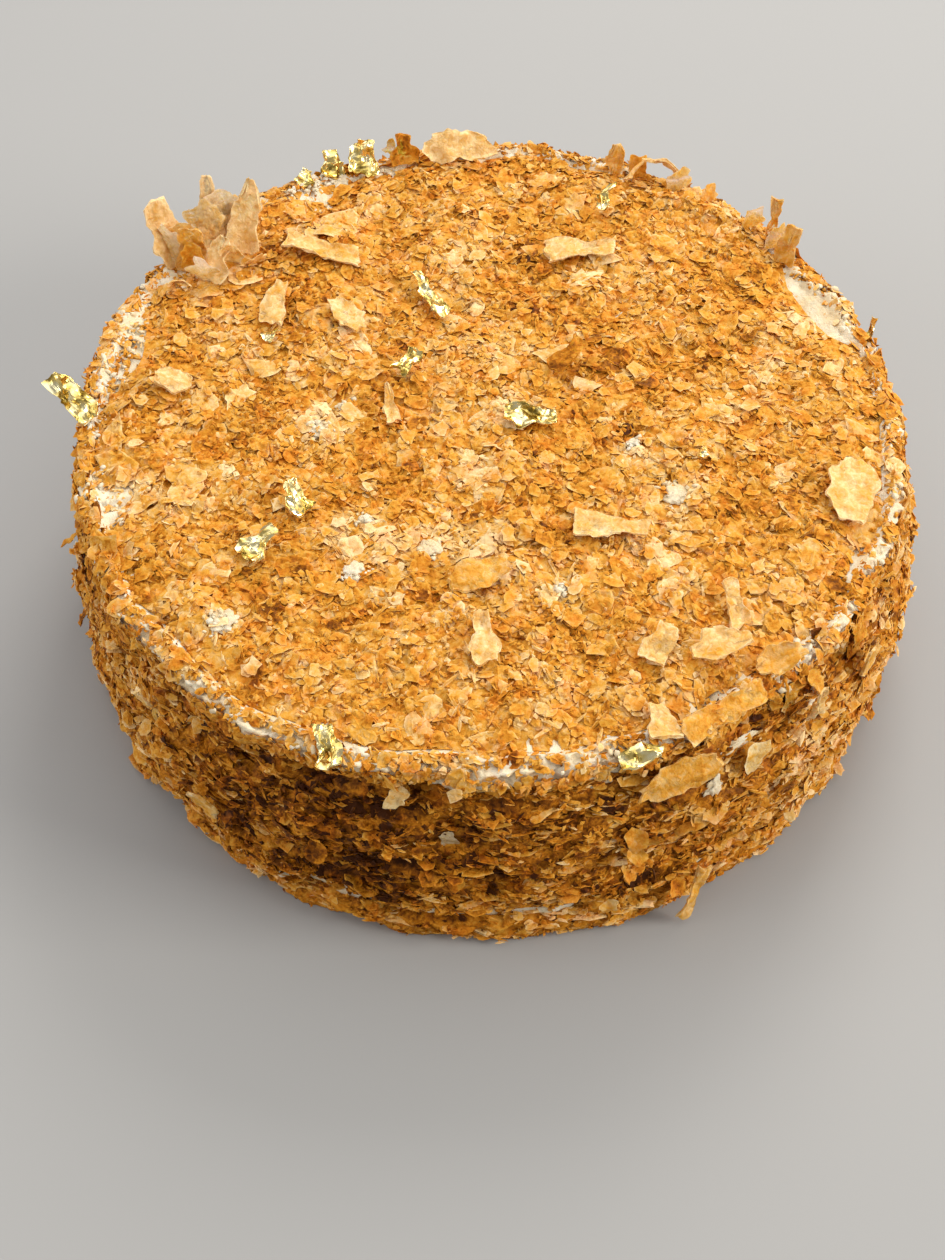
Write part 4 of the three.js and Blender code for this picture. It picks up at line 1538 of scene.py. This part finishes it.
# %% Loose shards
LOOSE_SHARDS = [
    # x, y and z of the foot in mm, length, width, azimuth that it faces, lean forwards, bend, bake
    (-86.5, 59, 67.5, 13, 11, -25, -16, 0.2, 0.2),
    (-81.5, 60, 67.5, 13, 13, -10, -8, -0.12, 0.3),
    (-80, 56.5, 67.5, 9, 10, -10, -4, -0.1, 0.56),
    (-76, 64, 67.5, 16, 13, 5, -16, 0.1, 0.2),
    (-72, 68.5, 67.5, 19, 12, 10, -8, 0.05, 0.18),
    (-68.5, 64, 67.5, 17, 15, 15, -24, -0.1, 0.18),
    (-69.5, 57.5, 67.5, 12, 11, 12, 2, 0.25, 0.2),
    (-76.5, 52.5, 67.5, 11, 10, -10, 14, -0.15, 0.16),
    (-83.5, 51, 67, 8, 8, 0, 26, 0.2, 0.3),
    (-63.5, 59, 67, 7, 9, 30, 20, 0.2, 0.34),
    (-27.3, 103.5, 67, 6.5, 6, 10, -10, 0.2, 0.4),
    (44, 93, 67, 8, 8, 10, -12, -0.2, 0.46),
    (56, 88, 67, 9, 10, 20, -12, 0.2, 0.4),
    (64, 81.5, 67, 7, 8, 25, -18, -0.2, 0.38),
    (74, 72, 67, 8, 9, 40, -16, 0.2, 0.4),
    (80.5, 64, 67, 9, 8, 35, -10, 0.15, 0.44),
    (3, -107.5, 49, 12, 7, 3, 168, 0.12, 0.1),
    (-10, -107, 48, 9, 6, -6, 170, 0.15, 0.12),
    (-7, -108, 40, 9, 6, -4, 165, 0.15, 0.4),
    (70.5, -76.5, 65, 15, 10, 45, 163, 0.12, 0.42),
    (75, -73, 66, 13, 7, 62, 158, -0.1, 0.5),
    (-68, -80, 55, 12, 10, -40, 166, 0.1, 0.3),
    (-79, -74, 50, 11, 10, -47, 168, 0.1, 0.36),
    (-61, -90, 44, 11, 8, -34, 166, 0.12, 0.4),
    (-20, -102, 62, 8, 8, -12, 150, 0.1, 0.34),
    (-41, -96, 50, 9, 6, -24, 165, 0.1, 0.32),
    (88, -58, 66, 11, 8, 58, 150, 0.2, 0.5),
    (96, -40, 50, 12, 9, 68, 165, 0.1, 0.3),
    (62, -88, 56, 11, 8, 35, 160, 0.15, 0.24),
]


def leaf_turn(facing, lean):
    """The directions across, through and along a scale that faces and leans so, in degrees."""
    ahead, across = round_axes(math.radians(facing))
    lean = math.radians(lean)
    high = np.array([0, 0, 1.0])
    along = math.cos(lean) * high + math.sin(lean) * ahead
    through = math.cos(lean) * ahead - math.sin(lean) * high
    return np.stack([across, through, along], 1)


LEAF_THICKNESS = 0.4


def torn_leaf(rng, place, length, width, facing, lean, bend, cells, seed):
    """A torn plate that grows from its foot: a grid cut to a random polygon, bent and thickened."""
    bm = bmesh.new()
    bmesh.ops.create_grid(bm, x_segments=cells[0], y_segments=cells[1], size=1)
    edge = random_outline(rng, int(rng.integers(6, 10)))
    turn = rng.uniform(0, 2 * math.pi)
    roll = rng.uniform(-0.25, 0.25)
    directions = leaf_turn(facing, lean)
    for vert in bm.verts:
        p, q = vert.co.x, vert.co.y
        reach = max(math.hypot(p, q), 1e-6)
        grow = edge(math.atan2(q, p) + turn) * max(abs(p), abs(q)) / reach
        p, q = p * grow, q * grow
        share = (q + 1) / 2
        out = bend * length * share * share + roll * width * p * p
        vert.co = Vector(place + directions @ np.array([p * width / 2, out, share * length])) * MM
    bmesh.ops.solidify(bm, geom=bm.faces[:], thickness=LEAF_THICKNESS * MM)
    bmesh.ops.recalc_face_normals(bm, faces=bm.faces)
    near = rim_values(bm, RIM_REACH)
    roughened(bm, near, seed, 0.0)
    return bm, near


def join_leaves(name, leaves, material, slot):
    """Joins torn leaves, given as a bmesh, its nearness to the rim and its bake, into one piece."""
    joined = bmesh.new()
    bakes, edges = [], []
    for seed, (bm, near, bake) in enumerate(leaves):
        bakes += patchy(bm, near, bake, seed)
        edges += near
        part = bpy.data.meshes.new("part")
        bm.to_mesh(part)
        bm.free()
        joined.from_mesh(part)
        bpy.data.meshes.remove(part)
    add_piece(name, joined, material, slot, bake=bakes, edge=edges)


# Painted light: pale loose shards are drawn paler still, as if lit through.
PALE_BELOW = 0.35
PALE_SHARD_PAINTED_LIGHT = 0.08


def loose_shards():
    rng = np.random.default_rng(25)
    leaves = []
    for k, (x, y, z, *form, bake) in enumerate(LOOSE_SHARDS, 1):
        place = np.array([x, y, z], dtype=float)
        leaf = torn_leaf(rng, place, *form, (16, 20), 40 + k)
        leaves.append((*leaf, bake - (PALE_SHARD_PAINTED_LIGHT if bake < PALE_BELOW else 0)))
    join_leaves("loose_shards", leaves, shard_material, "flake_pale")


loose_shards()

# %% Sheets along the lips of the ledges
LIP_STACKS = 75
STACK_SHEETS = 3
LIP_SPAN = (4, 62)
LIP_ROWS = int(64 / LEDGE_TALL)


def lip_sheets():
    """Short stacks of level sheets that stick out at the lips, and cast shade on the wall below."""
    rng = np.random.default_rng(26)
    leaves = []
    for k in range(LIP_STACKS):
        u = rng.uniform(0, SIDE_ROUND)
        row = int(rng.integers(1, LIP_ROWS + 1))
        v = row * LEDGE_TALL - sway(u, row * LEDGE_TALL) + 0.6
        if not LIP_SPAN[0] < v < LIP_SPAN[1] or hollow(u, v) > 0.6:
            continue
        wide = rng.uniform(9, 19)
        for sheet in range(STACK_SHEETS):
            along = u + rng.normal(0, 2.5)
            length = rng.uniform(6, 8.5)
            height = v + sheet * rng.uniform(0.6, 1.0)
            level = side_bed.height_at(along, height) + rng.uniform(0.4, 1.8) - length
            place, _ = side_frame(along, height, level)
            facing = degrees_round(along) + rng.normal(0, 10)
            lean = rng.normal(97, 7)
            width = wide * rng.uniform(0.6, 1)
            bend = rng.uniform(-0.05, 0.12)
            leaf = torn_leaf(rng, place, length, width, facing, lean, bend, (8, 4), 90 + k)
            leaves.append((*leaf, side_bake_shade_and_light(u, v) - 0.08 + rng.normal(0, 0.1)))
    join_leaves("lip_sheets", leaves, crumb_material, "flake_golden")


lip_sheets()

# %% Leaves that hang on the side
HANGING_LEAVES = 110


def hanging_leaves():
    """Scales held at their upper end, which point down and a little outwards."""
    rng = np.random.default_rng(27)
    leaves = []
    while len(leaves) < HANGING_LEAVES:
        u, v = rng.uniform(0, SIDE_ROUND), rng.uniform(14, 63)
        if not side_may_hold(u, v, "broad", rng) or hollow(u, v) > 1:
            continue
        length, width = rng.uniform(4, 9), rng.uniform(3.5, 7)
        place, _ = side_frame(u, v, side_bed.height_at(u, v) - 0.6)
        facing = degrees_round(u) + rng.normal(0, 14)
        lean = rng.uniform(125, 172)
        bend = rng.uniform(-0.1, 0.2)
        seed = 200 + len(leaves)
        leaf = torn_leaf(rng, place, length, width, facing, lean, bend, (6, 6), seed)
        leaves.append((*leaf, side_bake_shade_and_light(u, v) - 0.04 + rng.normal(0, 0.1)))
    join_leaves("hanging_leaves", leaves, crumb_material, "flake_golden")


hanging_leaves()
